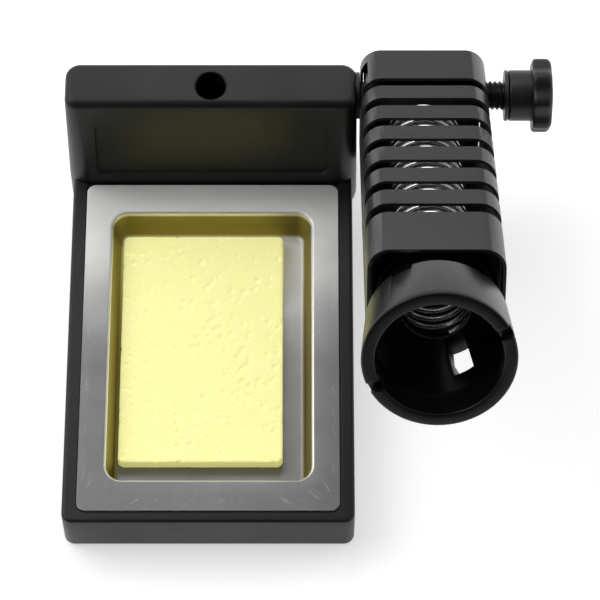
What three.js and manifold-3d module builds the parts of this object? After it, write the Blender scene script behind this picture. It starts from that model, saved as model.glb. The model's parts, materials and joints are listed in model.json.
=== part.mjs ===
// A bench stand for a soldering iron: a weighted base with a sponge tray, and a slotted sheet-metal holder
// that tilts beside it on a threaded clamp knob.
// Millimetres, +Z up. X runs across the base, Y from its front edge to its back.
import * as THREE from "three";
import { mergeVertices } from "three/addons/utils/BufferGeometryUtils.js";
import Module from "manifold-3d";

// Clearances and facets
const SEAT_GAP = 0.2; // between pieces that sit on or in each other
const RUN_GAP = 0.3; // round pieces that turn or slide
const OVERSHOOT = 1; // how far a cutter passes the faces it cuts
const FACETS = 36; // on a full round
const SMALL_FACETS = 20; // on a screw or a post
const CORNER_STEPS = 3; // pairs of facets on a rounded corner

// Moulded base: a low plate in front, a tall block behind
const PLATE_WIDTH = 76.4;
const PLATE_LENGTH = 100.8;
const PLATE_TOP = 15.7;
const PLATE_CORNER = 2.8;
const HOUSING_FOOT = 1.0; // lower edge of the housing, above the surface it stands on
const WALL = 2.5;
const BLOCK_OVERHANG = 1.4; // how far the block stands out past each side of the plate
const BLOCK_DEPTH = 21.7;
const BLOCK_TOP = 46.5;
const BLOCK_CORNER = 7;
const BLOCK_REAR_CORNER = 4;
const BLOCK_EDGE = 2;
const BLOCK_LEAN = THREE.MathUtils.degToRad(12); // front face, from upright
const REAR_LEAN = THREE.MathUtils.degToRad(2);
const SIDE_DRAFT = 0.011; // mm of width lost on each side per mm of height
const PANEL_MARGIN = 8.1; // from each side of the block
const PANEL_BOTTOM = 19.6;
const PANEL_TOP = 38.7;
const PANEL_DEPTH = 0.7;

// Rod socket in the top of the block
const SOCKET_RADIUS = 4.1;
const SOCKET_DEPTH = 30;
const SOCKET_WALL = 2.2;
const SOCKET_FROM_REAR = 7.4; // from the top's rear edge

// Underside: cover, ballast, screws and feet
const COVER_THICKNESS = 2;
const COVER_RISE = 0.2; // the cover's outer face, above the housing's lower edge
const BALLAST_HEADROOM = 0.4; // between the ballast and the tray's bowl
const BALLAST_MARGIN = 1.6;
const POST_RADIUS = 3.5;
const POST_INSET = 0.6; // how far a post runs into the wall beside it
const SCREW_RADIUS = 1.4;
const SCREW_HEAD_RADIUS = 2.6;
const SCREW_HEAD_HEIGHT = 1;
const SCREW_LENGTH = 9;
const REAR_POST_HEIGHT = 13;
const FOOT_RADIUS = 6;
const FOOT_HEIGHT = 2;
const FOOT_RECESS = 1;
const FOOT_SIDE_INSET = 11.5;
const FOOT_FRONT = 18;
const FOOT_REAR_INSET = 16;

// Pressed steel tray and its sponge
const SHEET = 0.6;
const TRAY_SIDE_MARGIN = 3.9; // plate left bare on each side of the tray
const TRAY_FRONT = 3;
const TRAY_CORNER = 2.3;
const TRAY_REAR_GAP = 0.5;
const TRAY_RECESS = 0.4;
const FLANGE_SIDE = 6.55; // the tray's flat rim, from its edge to the bowl
const FLANGE_NEAR = 8.1;
const FLANGE_FAR = 8.1;
const BOWL_CORNER = 5;
const BOWL_DEPTH = 9.5;
const BOWL_SLOPE = 2; // how far each wall leans in from lip to floor
const SPONGE_THICKNESS = 3.8;
const SPONGE_CORNER = 1.2;
const SPONGE_LEFT_GAP = 0.8;
const SPONGE_RIGHT_GAP = 5.7;
const SPONGE_NEAR_GAP = 5.5;
const SPONGE_FAR_GAP = 2.25;

// Clamp: M8 x 1.25 stud in a brass insert, through the holder
const PIVOT_FROM_REAR = 7.5; // from the block's rear face, at its foot
const PIVOT_Z = 39;
const STUD_RADIUS = 4;
const STUD_HOLE_GAP = 0.3;
const INSERT_WALL = 0.7;
const INSERT_LENGTH = 12;
const BOSS_WALL = 2;
const FRICTION_WASHER_WIDTH = 2; // from its bore to its rim
const FRICTION_WASHER_THICKNESS = 1.6;
const FRICTION_WASHER_SINK = 1;
const CLAMP_WASHER_THICKNESS = 1;
const KNOB_BACK_OFF = 4.9; // from the holder's outer wall to the clamp washer
const COLLAR_WALL = 2.85;
const COLLAR_LENGTH = 6.2;
const KNOB_RADIUS = 10.1;
const KNOB_THICKNESS = 5.8;
const KNOB_LOBES = 8;
const KNOB_LOBE_DEPTH = 0.9;
const KNOB_EDGE = 0.8;
const STUD_IN_KNOB = 10;
const STUD_IN_INSERT = 11;

// Tilting holder: slotted tube, end plates, funnel and spring
const HOLDER_TILT = THREE.MathUtils.degToRad(31); // its axis above level, mouth up
const TUBE_SHEET = 0.8;
const TUBE_WIDTH = 33.8;
const TUBE_LENGTH = 106;
const TUBE_CORNER = 5.6;
const SIDE_GAP = 0.2; // between the friction washer and the tube
const PIVOT_FROM_BACK = 8.4;
const PIVOT_BELOW_TOP = 9.4;
const FRONT_BAND = 18; // solid band of tube in front of the last slot
const SLOT_WIDTH = 4.2;
const SLOT_PITCH = 11.2;
const SLOT_START = 16.4;
const SLOT_DROP = 12;
const SEAM_WIDTH = 0.8;
const SEAM_FROM_CORNER = 0.4; // beside the rounded corner on the knob's side
const HANG_SLOT_TOP = 1.4; // how far the hanging slot stops below the tube's top
const SLEEVE_WALL = 1.7;
const FRONT_PLATE_INSET = 9.6;
const FRONT_PLATE_THICKNESS = 1;
const REAR_PLATE_THICKNESS = 0.8;

// Funnel, turned about the tube's axis; angles are counted from across the stand
const RIM_REACH = 23.4; // rim beyond the tube's front edge
const RIM_RADIUS = 18.8;
const RIM_BORE = 15.4;
const RING_LENGTH = 18;
const RING_REAR_RADIUS = 17.4;
const CUP_DEPTH = 9;
const CONE_LENGTH = 14.6;
const FLANGE_SIDE_GAP = 0.7; // between the funnel's flange and the tube
const FLANGE_STEP = 1.4;
const FLANGE_THICKNESS = 3.2;
const SPIGOT_WALL = 1.1;
const SPIGOT_LENGTH = 5;
const THROAT_STEP = 1.4; // how far the throat covers the spring's front end
const THROAT_LENGTH = 1.2;
const NOTCH_WIDTH = 3;
const NOTCH_DEPTH = 2;
const NOTCH_ANGLE = THREE.MathUtils.degToRad(25.7);
const WINDOW_ANGLE = THREE.MathUtils.degToRad(120.7);
const WINDOW_WIDTH = 5.4;
const WINDOW_FROM_RIM = 13.1;
const WINDOW_LENGTH = 10.3;
const WINDOW_INTO_RING = 0.5; // radially, from the rim's bore
const RING_REAR_NOTCH = 2.4; // in the ring's rear edge, behind each window
const FUNNEL_SCREW_RADIUS = 1.1;
const FUNNEL_SCREW_HEAD_RADIUS = 1.8;
const FUNNEL_SCREW_HEAD_HEIGHT = 1.2;
const FUNNEL_SCREW_DEPTH = 2.4;
const SPRING_SIDE_ROOM = 5.9; // from the spring's outside to the tube's inside
const SPRING_WIRE = 1.7;
const SPRING_PITCH = 3.8;
const SPRING_BACK = 14.6; // its free end, from the tube's back edge
const SPRING_STEPS = 10; // per turn
const SPRING_SIDES = 5;

// Levels and places that follow from the sizes above
const COVER_BOTTOM = HOUSING_FOOT + COVER_RISE;
const COVER_TOP = COVER_BOTTOM + COVER_THICKNESS;
const BLOCK_WIDTH = PLATE_WIDTH + 2 * BLOCK_OVERHANG;
const BLOCK_REAR = PLATE_LENGTH + BLOCK_DEPTH;
const INNER_HALF = PLATE_WIDTH / 2 - WALL;
const TRAY_WIDTH = PLATE_WIDTH - 2 * TRAY_SIDE_MARGIN;
const TRAY_LENGTH = PLATE_LENGTH - TRAY_FRONT - TRAY_REAR_GAP;
const TRAY_MIDDLE = TRAY_FRONT + TRAY_LENGTH / 2;
const TRAY_BOTTOM = PLATE_TOP - TRAY_RECESS + SEAT_GAP;
const TRAY_TOP = TRAY_BOTTOM + SHEET;
const BOWL_WIDTH = TRAY_WIDTH - 2 * FLANGE_SIDE;
const BOWL_LENGTH = TRAY_LENGTH - FLANGE_NEAR - FLANGE_FAR;
const BOWL_FRONT = TRAY_FRONT + FLANGE_NEAR;
const BOWL_MIDDLE = BOWL_FRONT + BOWL_LENGTH / 2;
const BOWL_FLOOR = TRAY_TOP - BOWL_DEPTH;
const FLOOR_INSET = BOWL_SLOPE + SHEET; // from the bowl's lip to its flat floor
const SPONGE_WIDTH = BOWL_WIDTH - 2 * FLOOR_INSET - SPONGE_LEFT_GAP - SPONGE_RIGHT_GAP;
const SPONGE_LENGTH = BOWL_LENGTH - 2 * FLOOR_INSET - SPONGE_NEAR_GAP - SPONGE_FAR_GAP;
const STUD_HOLE = STUD_RADIUS + STUD_HOLE_GAP;
const INSERT_RADIUS = STUD_HOLE + INSERT_WALL;
const FRICTION_WASHER_RADIUS = STUD_HOLE + FRICTION_WASHER_WIDTH;
const COLLAR_RADIUS = STUD_RADIUS + COLLAR_WALL;
const PIVOT_Y = BLOCK_REAR - PIVOT_FROM_REAR;
const SIDE_FACE = BLOCK_WIDTH / 2 - SIDE_DRAFT * (PIVOT_Z - HOUSING_FOOT);
const WASHER_INNER = SIDE_FACE - FRICTION_WASHER_SINK + SEAT_GAP;
const TUBE_NEAR = WASHER_INNER + FRICTION_WASHER_THICKNESS + SIDE_GAP;
const TUBE_MIDDLE = TUBE_NEAR + TUBE_WIDTH / 2;
const TUBE_FAR = TUBE_NEAR + TUBE_WIDTH;
const TUBE_INNER = TUBE_WIDTH - 2 * TUBE_SHEET;
const SLEEVE_RADIUS = STUD_HOLE + SLEEVE_WALL;
const SEAM_OFFSET = TUBE_WIDTH / 2 - TUBE_CORNER - SEAM_FROM_CORNER;
const SLOT_ROOM = TUBE_LENGTH - SLOT_START - SLOT_WIDTH - FRONT_BAND;
const SLOT_COUNT = 1 + Math.floor(SLOT_ROOM / SLOT_PITCH);
const TUBE_AXIS = PIVOT_BELOW_TOP - TUBE_WIDTH / 2; // height of the tube's axis over the pivot
const TUBE_FRONT = TUBE_LENGTH - PIVOT_FROM_BACK;
const RIM = TUBE_FRONT + RIM_REACH;
const RING_REAR = RIM - RING_LENGTH;
const FRONT_PLATE = TUBE_FRONT - FRONT_PLATE_INSET;
const AIR_GAP_LENGTH = FRONT_PLATE_INSET - FRONT_PLATE_THICKNESS; // open underside, in front of the plate
const FLANGE_REAR = FRONT_PLATE + FRONT_PLATE_THICKNESS + SEAT_GAP;
const FLANGE_FRONT = FLANGE_REAR + FLANGE_THICKNESS;
const THROAT_FRONT = RIM - CUP_DEPTH - CONE_LENGTH;
const FLANGE_RADIUS = TUBE_INNER / 2 - FLANGE_SIDE_GAP;
const NECK_RADIUS = FLANGE_RADIUS - FLANGE_STEP;
const SPRING_RADIUS = TUBE_INNER / 2 - SPRING_SIDE_ROOM;
const THROAT_RADIUS = SPRING_RADIUS - THROAT_STEP;
const WINDOW_OUTER = RIM_BORE + WINDOW_INTO_RING;
const SPRING_POCKET = SPRING_RADIUS + RUN_GAP;
const SPIGOT_RADIUS = SPRING_POCKET + SPIGOT_WALL;
const SPRING_SEAT = THROAT_FRONT - THROAT_LENGTH;
const CLAMP_WASHER_NEAR = TUBE_FAR + KNOB_BACK_OFF;
const COLLAR_NEAR = CLAMP_WASHER_NEAR + CLAMP_WASHER_THICKNESS + SEAT_GAP;
const HEAD_NEAR = COLLAR_NEAR + COLLAR_LENGTH;
const INSERT_FAR = SIDE_FACE - FRICTION_WASHER_SINK - SEAT_GAP;

const wasm = await Module();
wasm.setup();

// ---- solids ---------------------------------------------------------------------------------------

// A closed geometry as a solid that can be joined and cut.
function solid(geometry) {
  const bare = geometry.clone();
  bare.deleteAttribute("normal");
  bare.deleteAttribute("uv");
  const merged = mergeVertices(bare, 1e-4);
  const mesh = new wasm.Mesh({
    numProp: 3,
    vertProperties: merged.attributes.position.array,
    triVerts: new Uint32Array(merged.index.array),
  });
  return new wasm.Manifold(mesh);
}

function geometryOf(shape) {
  const { vertProperties, triVerts } = shape.getMesh();
  const geometry = new THREE.BufferGeometry();
  geometry.setAttribute("position", new THREE.BufferAttribute(vertProperties, 3));
  geometry.setIndex(new THREE.BufferAttribute(triVerts, 1));
  geometry.computeVertexNormals();
  return geometry;
}

const join = (first, ...rest) => rest.reduce((whole, piece) => whole.add(piece), first);
const cut = (first, ...rest) => rest.reduce((whole, piece) => whole.subtract(piece), first);

// A flat shape drawn in X and Y, raised from one level to another.
function prism(shape, bottom, top) {
  const options = { depth: top - bottom, bevelEnabled: false, curveSegments: CORNER_STEPS };
  return new THREE.ExtrudeGeometry(shape, options).translate(0, 0, bottom);
}

function cylinder(radius, bottom, top, facets = FACETS) {
  const geometry = new THREE.CylinderGeometry(radius, radius, top - bottom, facets);
  return geometry.rotateX(Math.PI / 2).translate(0, 0, (bottom + top) / 2);
}

function box(width, depth, height) {
  return new THREE.BoxGeometry(width, depth, height);
}

// A profile of [radius, height] points turned about +Z.
function turned(profile, facets = FACETS) {
  const points = profile.map(([radius, height]) => new THREE.Vector2(radius, height));
  return new THREE.LatheGeometry(points, facets).rotateX(Math.PI / 2);
}

function ring(inner, outer, bottom, top, facets = FACETS) {
  const corners = [
    [inner, bottom],
    [outer, bottom],
    [outer, top],
    [inner, top],
    [inner, bottom],
  ];
  return turned(corners, facets);
}

// Turns a geometry made along +Z so that it runs along +X.
const alongX = (geometry) => geometry.rotateY(Math.PI / 2);

// Turns a profile drawn with Y across and Z up, and extruded, so that it runs along +X.
function sideProfile(shape, width) {
  const turn = new THREE.Matrix4().makeBasis(
    new THREE.Vector3(0, 1, 0),
    new THREE.Vector3(0, 0, 1),
    new THREE.Vector3(1, 0, 0),
  );
  return prism(shape, -width / 2, width / 2).applyMatrix4(turn);
}

// ---- outlines -------------------------------------------------------------------------------------

// A rectangle with its own radius on the low-Y and the high-Y corners.
function roundedRect(width, [low, high], lowRadius, highRadius = lowRadius) {
  const right = Math.PI / 2;
  const lowX = width / 2 - lowRadius;
  const highX = width / 2 - highRadius;
  const shape = new THREE.Shape();
  shape.absarc(lowX, low + lowRadius, lowRadius, -right, 0);
  shape.absarc(highX, high - highRadius, highRadius, 0, right);
  shape.absarc(-highX, high - highRadius, highRadius, right, 2 * right);
  shape.absarc(-lowX, low + lowRadius, lowRadius, 2 * right, 3 * right);
  return shape;
}

const square = (side, radius, middle) => roundedRect(side, [middle - side / 2, middle + side / 2], radius);

// Leans the upper or lower end of an upright prism in or out, about a middle in Y.
function tapered(geometry, middle, level, scaleX, scaleY) {
  const position = geometry.attributes.position;
  for (let i = 0; i < position.count; i++) {
    if (Math.abs(position.getZ(i) - level) > 1e-3) continue;
    position.setX(i, position.getX(i) * scaleX);
    position.setY(i, middle + (position.getY(i) - middle) * scaleY);
  }
  return geometry;
}

// ---- base -----------------------------------------------------------------------------------------

const frontFace = (z) => PLATE_LENGTH + Math.max(0, z - PLATE_TOP) * Math.tan(BLOCK_LEAN);
const rearFace = (z) => BLOCK_REAR - (z - HOUSING_FOOT) * Math.tan(REAR_LEAN);

function blockOutline() {
  const shape = new THREE.Shape();
  shape.moveTo(PLATE_LENGTH, HOUSING_FOOT);
  shape.lineTo(rearFace(HOUSING_FOOT), HOUSING_FOOT);
  shape.lineTo(rearFace(BLOCK_TOP - BLOCK_EDGE), BLOCK_TOP - BLOCK_EDGE);
  const rear = rearFace(BLOCK_TOP);
  shape.quadraticCurveTo(rear, BLOCK_TOP, rear - BLOCK_EDGE, BLOCK_TOP);
  const front = frontFace(BLOCK_TOP);
  shape.lineTo(front + BLOCK_EDGE, BLOCK_TOP);
  shape.quadraticCurveTo(front, BLOCK_TOP, frontFace(BLOCK_TOP - BLOCK_EDGE), BLOCK_TOP - BLOCK_EDGE);
  shape.lineTo(PLATE_LENGTH, PLATE_TOP);
  return shape;
}

function blockBody() {
  const plan = roundedRect(BLOCK_WIDTH, [PLATE_LENGTH, BLOCK_REAR], BLOCK_CORNER, BLOCK_REAR_CORNER);
  const upright = prism(plan, HOUSING_FOOT, BLOCK_TOP);
  const topScale = 1 - (2 * SIDE_DRAFT * (BLOCK_TOP - HOUSING_FOOT)) / BLOCK_WIDTH;
  const drafted = tapered(upright, 0, BLOCK_TOP, topScale, 1);
  const profile = sideProfile(blockOutline(), BLOCK_WIDTH + 2 * OVERSHOOT);
  return solid(drafted).intersect(solid(profile));
}

function housingCavity() {
  const wallAcross = WALL / Math.cos(BLOCK_LEAN);
  const shape = new THREE.Shape();
  shape.moveTo(WALL, -OVERSHOOT);
  shape.lineTo(rearFace(HOUSING_FOOT) - WALL, -OVERSHOOT);
  shape.lineTo(rearFace(BLOCK_TOP) - WALL, BLOCK_TOP - WALL);
  shape.lineTo(frontFace(BLOCK_TOP - WALL) + wallAcross, BLOCK_TOP - WALL);
  shape.lineTo(frontFace(PLATE_TOP) + wallAcross, PLATE_TOP - WALL);
  shape.lineTo(WALL, PLATE_TOP - WALL);
  return solid(sideProfile(shape, 2 * INNER_HALF));
}

const socketY = () => rearFace(BLOCK_TOP) - SOCKET_FROM_REAR;

function screwPlaces() {
  const x = INNER_HALF - POST_RADIUS + POST_INSET;
  const front = WALL + POST_RADIUS - POST_INSET;
  const rear = rearFace(0) - WALL - POST_RADIUS + POST_INSET;
  return { front_left: [-x, front], front_right: [x, front], rear_left: [-x, rear], rear_right: [x, rear] };
}

function screwPost([x, y]) {
  const top = y < PLATE_LENGTH ? PLATE_TOP - WALL / 2 : COVER_TOP + REAR_POST_HEIGHT;
  return solid(cylinder(POST_RADIUS, COVER_TOP + SEAT_GAP, top, SMALL_FACETS).translate(x, y, 0));
}

function screwPilot([x, y]) {
  const top = COVER_BOTTOM + SCREW_LENGTH + SEAT_GAP;
  const pilot = cylinder(SCREW_RADIUS + SEAT_GAP, HOUSING_FOOT, top, SMALL_FACETS);
  return solid(pilot.translate(x, y, 0));
}

function panelCutter() {
  const shape = new THREE.Shape();
  shape.moveTo(frontFace(PANEL_BOTTOM) - PANEL_TOP, PANEL_BOTTOM);
  shape.lineTo(frontFace(PANEL_BOTTOM) + PANEL_DEPTH, PANEL_BOTTOM);
  shape.lineTo(frontFace(PANEL_TOP) + PANEL_DEPTH, PANEL_TOP);
  shape.lineTo(frontFace(PANEL_BOTTOM) - PANEL_TOP, PANEL_TOP);
  return solid(sideProfile(shape, BLOCK_WIDTH - 2 * PANEL_MARGIN));
}

function insertBoss() {
  const radius = INSERT_RADIUS + SEAT_GAP + BOSS_WALL;
  const boss = alongX(cylinder(radius, SIDE_FACE - INSERT_LENGTH - WALL, SIDE_FACE - WALL / 2));
  return solid(boss.translate(0, PIVOT_Y, PIVOT_Z));
}

function insertBores() {
  const start = SIDE_FACE - INSERT_LENGTH - 2 * WALL;
  const bore = alongX(cylinder(INSERT_RADIUS + SEAT_GAP, start, SIDE_FACE));
  const seat = alongX(
    cylinder(FRICTION_WASHER_RADIUS + SEAT_GAP, SIDE_FACE - FRICTION_WASHER_SINK, SIDE_FACE + OVERSHOOT),
  );
  return join(solid(bore), solid(seat)).translate(0, PIVOT_Y, PIVOT_Z);
}

function trayCutters() {
  const margin = 2 * RUN_GAP;
  const recess = roundedRect(TRAY_WIDTH + margin, [TRAY_FRONT - RUN_GAP, PLATE_LENGTH], TRAY_CORNER);
  const rim = BOWL_WIDTH + margin;
  const span = [BOWL_FRONT - RUN_GAP, BOWL_FRONT + BOWL_LENGTH + RUN_GAP];
  const opening = roundedRect(rim, span, BOWL_CORNER);
  const shallow = solid(prism(recess, PLATE_TOP - TRAY_RECESS, PLATE_TOP + OVERSHOOT));
  return shallow.add(solid(prism(opening, HOUSING_FOOT, PLATE_TOP)));
}

function baseHousing() {
  const plan = roundedRect(PLATE_WIDTH, [0, PLATE_LENGTH + 2 * WALL], PLATE_CORNER);
  const outer = join(solid(prism(plan, HOUSING_FOOT, PLATE_TOP)), blockBody());
  const places = Object.values(screwPlaces());
  const socketBottom = BLOCK_TOP - SOCKET_DEPTH;
  const column = cylinder(SOCKET_RADIUS + SOCKET_WALL, socketBottom - SOCKET_WALL, BLOCK_TOP - WALL / 2);
  const socket = cylinder(SOCKET_RADIUS, socketBottom, BLOCK_TOP + OVERSHOOT);
  const bosses = join(
    solid(column.translate(0, socketY(), 0)),
    insertBoss(),
    ...places.map(screwPost),
  ).intersect(outer);
  return cut(
    join(cut(outer, housingCavity()), bosses),
    solid(socket.translate(0, socketY(), 0)),
    insertBores(),
    panelCutter(),
    trayCutters(),
    ...places.map(screwPilot),
  );
}

function footPlaces() {
  const x = PLATE_WIDTH / 2 - FOOT_SIDE_INSET;
  const rear = BLOCK_REAR - FOOT_REAR_INSET;
  return {
    front_left: [-x, FOOT_FRONT],
    front_right: [x, FOOT_FRONT],
    rear_left: [-x, rear],
    rear_right: [x, rear],
  };
}

function bottomCover() {
  const span = [WALL + SEAT_GAP, rearFace(0) - WALL - 2 * SEAT_GAP];
  const plate = solid(prism(roundedRect(2 * (INNER_HALF - SEAT_GAP), span, 1), COVER_BOTTOM, COVER_TOP));
  const recesses = Object.values(footPlaces()).map(([x, y]) =>
    solid(cylinder(FOOT_RADIUS + SEAT_GAP, 0, COVER_BOTTOM + FOOT_RECESS, SMALL_FACETS).translate(x, y, 0)),
  );
  const holes = Object.values(screwPlaces()).map(([x, y]) => {
    const through = cylinder(SCREW_RADIUS + SEAT_GAP, 0, COVER_TOP + OVERSHOOT, SMALL_FACETS);
    const headTop = COVER_BOTTOM + SCREW_HEAD_HEIGHT + SEAT_GAP;
    const sunk = cylinder(SCREW_HEAD_RADIUS + SEAT_GAP, 0, headTop, SMALL_FACETS);
    return solid(through).add(solid(sunk)).translate(x, y, 0);
  });
  return cut(plate, ...recesses, ...holes);
}

function ballastPlate() {
  const { front_left: [, front], rear_left: [, rear] } = screwPlaces();
  const clear = POST_RADIUS + BALLAST_MARGIN;
  const width = 2 * (INNER_HALF - BALLAST_MARGIN);
  const outline = roundedRect(width, [front + clear, rear - clear], BALLAST_MARGIN);
  return solid(prism(outline, COVER_TOP + SEAT_GAP, BOWL_FLOOR - SHEET - BALLAST_HEADROOM));
}

function coverScrew([x, y]) {
  const head = COVER_BOTTOM + SCREW_HEAD_HEIGHT;
  const profile = [
    [0, COVER_BOTTOM],
    [SCREW_HEAD_RADIUS, COVER_BOTTOM],
    [SCREW_HEAD_RADIUS, head],
    [SCREW_RADIUS, head],
    [SCREW_RADIUS, COVER_BOTTOM + SCREW_LENGTH - SCREW_RADIUS],
    [0, COVER_BOTTOM + SCREW_LENGTH],
  ];
  return solid(turned(profile, SMALL_FACETS).translate(x, y, 0));
}

function rubberFoot([x, y]) {
  const chamfer = 0.4;
  const profile = [
    [0, 0],
    [FOOT_RADIUS - chamfer, 0],
    [FOOT_RADIUS, chamfer],
    [FOOT_RADIUS, FOOT_HEIGHT],
    [0, FOOT_HEIGHT],
  ];
  return solid(turned(profile, SMALL_FACETS).translate(x, y, 0));
}

// ---- tray and sponge ------------------------------------------------------------------------------

function bowl(offset, floor, top) {
  const width = BOWL_WIDTH + 2 * offset;
  const length = BOWL_LENGTH + 2 * offset;
  const span = [BOWL_MIDDLE - length / 2, BOWL_MIDDLE + length / 2];
  const block = prism(roundedRect(width, span, BOWL_CORNER + offset), floor, top);
  const lean = 2 * BOWL_SLOPE;
  return solid(tapered(block, BOWL_MIDDLE, floor, (width - lean) / width, (length - lean) / length));
}

function spongeTray() {
  const span = [TRAY_MIDDLE - TRAY_LENGTH / 2, TRAY_MIDDLE + TRAY_LENGTH / 2];
  const flange = solid(prism(roundedRect(TRAY_WIDTH, span, TRAY_CORNER), TRAY_BOTTOM, TRAY_TOP));
  const shell = flange.add(bowl(0, BOWL_FLOOR - SHEET, TRAY_TOP - SHEET / 2));
  return shell.subtract(bowl(-SHEET, BOWL_FLOOR, TRAY_TOP + OVERSHOOT));
}

function cleaningSponge() {
  const left = -BOWL_WIDTH / 2 + FLOOR_INSET + SPONGE_LEFT_GAP;
  const rear = BOWL_FRONT + BOWL_LENGTH - FLOOR_INSET - SPONGE_FAR_GAP;
  const shape = roundedRect(SPONGE_WIDTH, [rear - SPONGE_LENGTH, rear], SPONGE_CORNER);
  const bottom = BOWL_FLOOR + RUN_GAP;
  return solid(prism(shape, bottom, bottom + SPONGE_THICKNESS).translate(left + SPONGE_WIDTH / 2, 0, 0));
}

// ---- clamp ----------------------------------------------------------------------------------------

const onPivot = (geometry) => solid(alongX(geometry).translate(0, PIVOT_Y, PIVOT_Z));

const threadedInsert = () =>
  onPivot(ring(STUD_HOLE, INSERT_RADIUS, INSERT_FAR - INSERT_LENGTH, INSERT_FAR));

const frictionWasher = () =>
  onPivot(ring(STUD_HOLE, FRICTION_WASHER_RADIUS, WASHER_INNER, WASHER_INNER + FRICTION_WASHER_THICKNESS));

const clampWasher = () =>
  onPivot(ring(STUD_HOLE, COLLAR_RADIUS, CLAMP_WASHER_NEAR, CLAMP_WASHER_NEAR + CLAMP_WASHER_THICKNESS));

function knobStud() {
  const start = INSERT_FAR - STUD_IN_INSERT;
  const end = COLLAR_NEAR + STUD_IN_KNOB;
  const chamfer = 0.8;
  const profile = [
    [0, start],
    [STUD_RADIUS - chamfer, start],
    [STUD_RADIUS, start + chamfer],
    [STUD_RADIUS, end],
    [0, end],
  ];
  return onPivot(turned(profile, SMALL_FACETS));
}

function knobOutline() {
  const points = [];
  const steps = 8 * KNOB_LOBES;
  const mean = KNOB_RADIUS - KNOB_EDGE - KNOB_LOBE_DEPTH / 2;
  for (let i = 0; i < steps; i++) {
    const angle = (2 * Math.PI * i) / steps;
    const radius = mean + (KNOB_LOBE_DEPTH / 2) * Math.cos(KNOB_LOBES * angle);
    points.push(new THREE.Vector2(radius * Math.cos(angle), radius * Math.sin(angle)));
  }
  return new THREE.Shape(points);
}

function knobHead() {
  const options = {
    depth: KNOB_THICKNESS - 2 * KNOB_EDGE,
    bevelThickness: KNOB_EDGE,
    bevelSize: KNOB_EDGE,
    bevelSegments: 2,
  };
  const head = new THREE.ExtrudeGeometry(knobOutline(), options).translate(0, 0, HEAD_NEAR + KNOB_EDGE);
  const collar = cylinder(COLLAR_RADIUS, COLLAR_NEAR, HEAD_NEAR + KNOB_EDGE);
  const boreEnd = COLLAR_NEAR + STUD_IN_KNOB + SEAT_GAP;
  const bore = cylinder(STUD_RADIUS + SEAT_GAP, COLLAR_NEAR - OVERSHOOT, boreEnd);
  return cut(join(onPivot(head), onPivot(collar)), onPivot(bore));
}

// ---- holder, in its own axes: X across, Y up from the pivot, Z along the tube to the mouth ---------

const tubeSquare = (side, radius) => square(side, radius, TUBE_AXIS);

function sideSlot(middle, halfWidth, bottom, top) {
  const shape = new THREE.Shape();
  shape.absarc(middle, bottom + halfWidth, halfWidth, Math.PI, 2 * Math.PI);
  shape.lineTo(middle + halfWidth, top);
  shape.lineTo(middle - halfWidth, top);
  return shape;
}

// Drawn with the tube's length across and its height up, and cut right through from side to side.
function slotCutter(index) {
  const start = SLOT_START - PIVOT_FROM_BACK + index * SLOT_PITCH;
  const halfWidth = SLOT_WIDTH / 2;
  const reach = TUBE_WIDTH / 2 + OVERSHOOT;
  const bottom = PIVOT_BELOW_TOP - SLOT_DROP;
  const outline = sideSlot(-(start + halfWidth), halfWidth, bottom, PIVOT_BELOW_TOP + OVERSHOOT);
  return solid(prism(outline, -reach, reach).rotateY(Math.PI / 2));
}

function hangSlot() {
  const outline = sideSlot(0, STUD_HOLE, -STUD_HOLE, PIVOT_BELOW_TOP - HANG_SLOT_TOP);
  const cutter = prism(outline, -TUBE_SHEET - OVERSHOOT, TUBE_CORNER).rotateY(Math.PI / 2);
  return solid(cutter.translate(-TUBE_WIDTH / 2 + TUBE_SHEET, 0, 0));
}

function holderCage() {
  const outer = prism(tubeSquare(TUBE_WIDTH, TUBE_CORNER), -PIVOT_FROM_BACK, TUBE_FRONT);
  const hollow = tubeSquare(TUBE_INNER, TUBE_CORNER - TUBE_SHEET);
  const inner = prism(hollow, -PIVOT_FROM_BACK - OVERSHOOT, TUBE_FRONT + OVERSHOOT);
  const slots = Array.from({ length: SLOT_COUNT }, (_, index) => slotCutter(index));
  const boltHole = alongX(cylinder(STUD_HOLE, 0, TUBE_WIDTH));
  const seam = box(SEAM_WIDTH, 4 * TUBE_SHEET, TUBE_LENGTH + 2 * OVERSHOOT);
  const seamMiddle = (TUBE_FRONT - PIVOT_FROM_BACK) / 2;
  const underside = TUBE_AXIS - TUBE_WIDTH / 2 + TUBE_SHEET / 2;
  seam.translate(SEAM_OFFSET, underside, seamMiddle);
  const airGap = box(TUBE_WIDTH - 2 * TUBE_CORNER, 4 * TUBE_SHEET, 2 * AIR_GAP_LENGTH);
  airGap.translate(0, underside, TUBE_FRONT);
  const openings = [hangSlot(), solid(boltHole), solid(seam), solid(airGap)];
  return cut(solid(outer), solid(inner), ...slots, ...openings);
}

const plateSquare = () => tubeSquare(TUBE_INNER - 2 * SEAT_GAP, TUBE_CORNER - TUBE_SHEET - SEAT_GAP);

function rearPlate() {
  const start = -PIVOT_FROM_BACK + SEAT_GAP;
  return solid(prism(plateSquare(), start, start + REAR_PLATE_THICKNESS));
}

const funnelScrewRadiusAt = SPIGOT_RADIUS + RUN_GAP + FUNNEL_SCREW_HEAD_RADIUS;

function funnelScrewHole(side, radius, start, end) {
  const hole = cylinder(radius, start, end, SMALL_FACETS);
  return solid(hole.translate(side * funnelScrewRadiusAt, TUBE_AXIS, 0));
}

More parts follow.
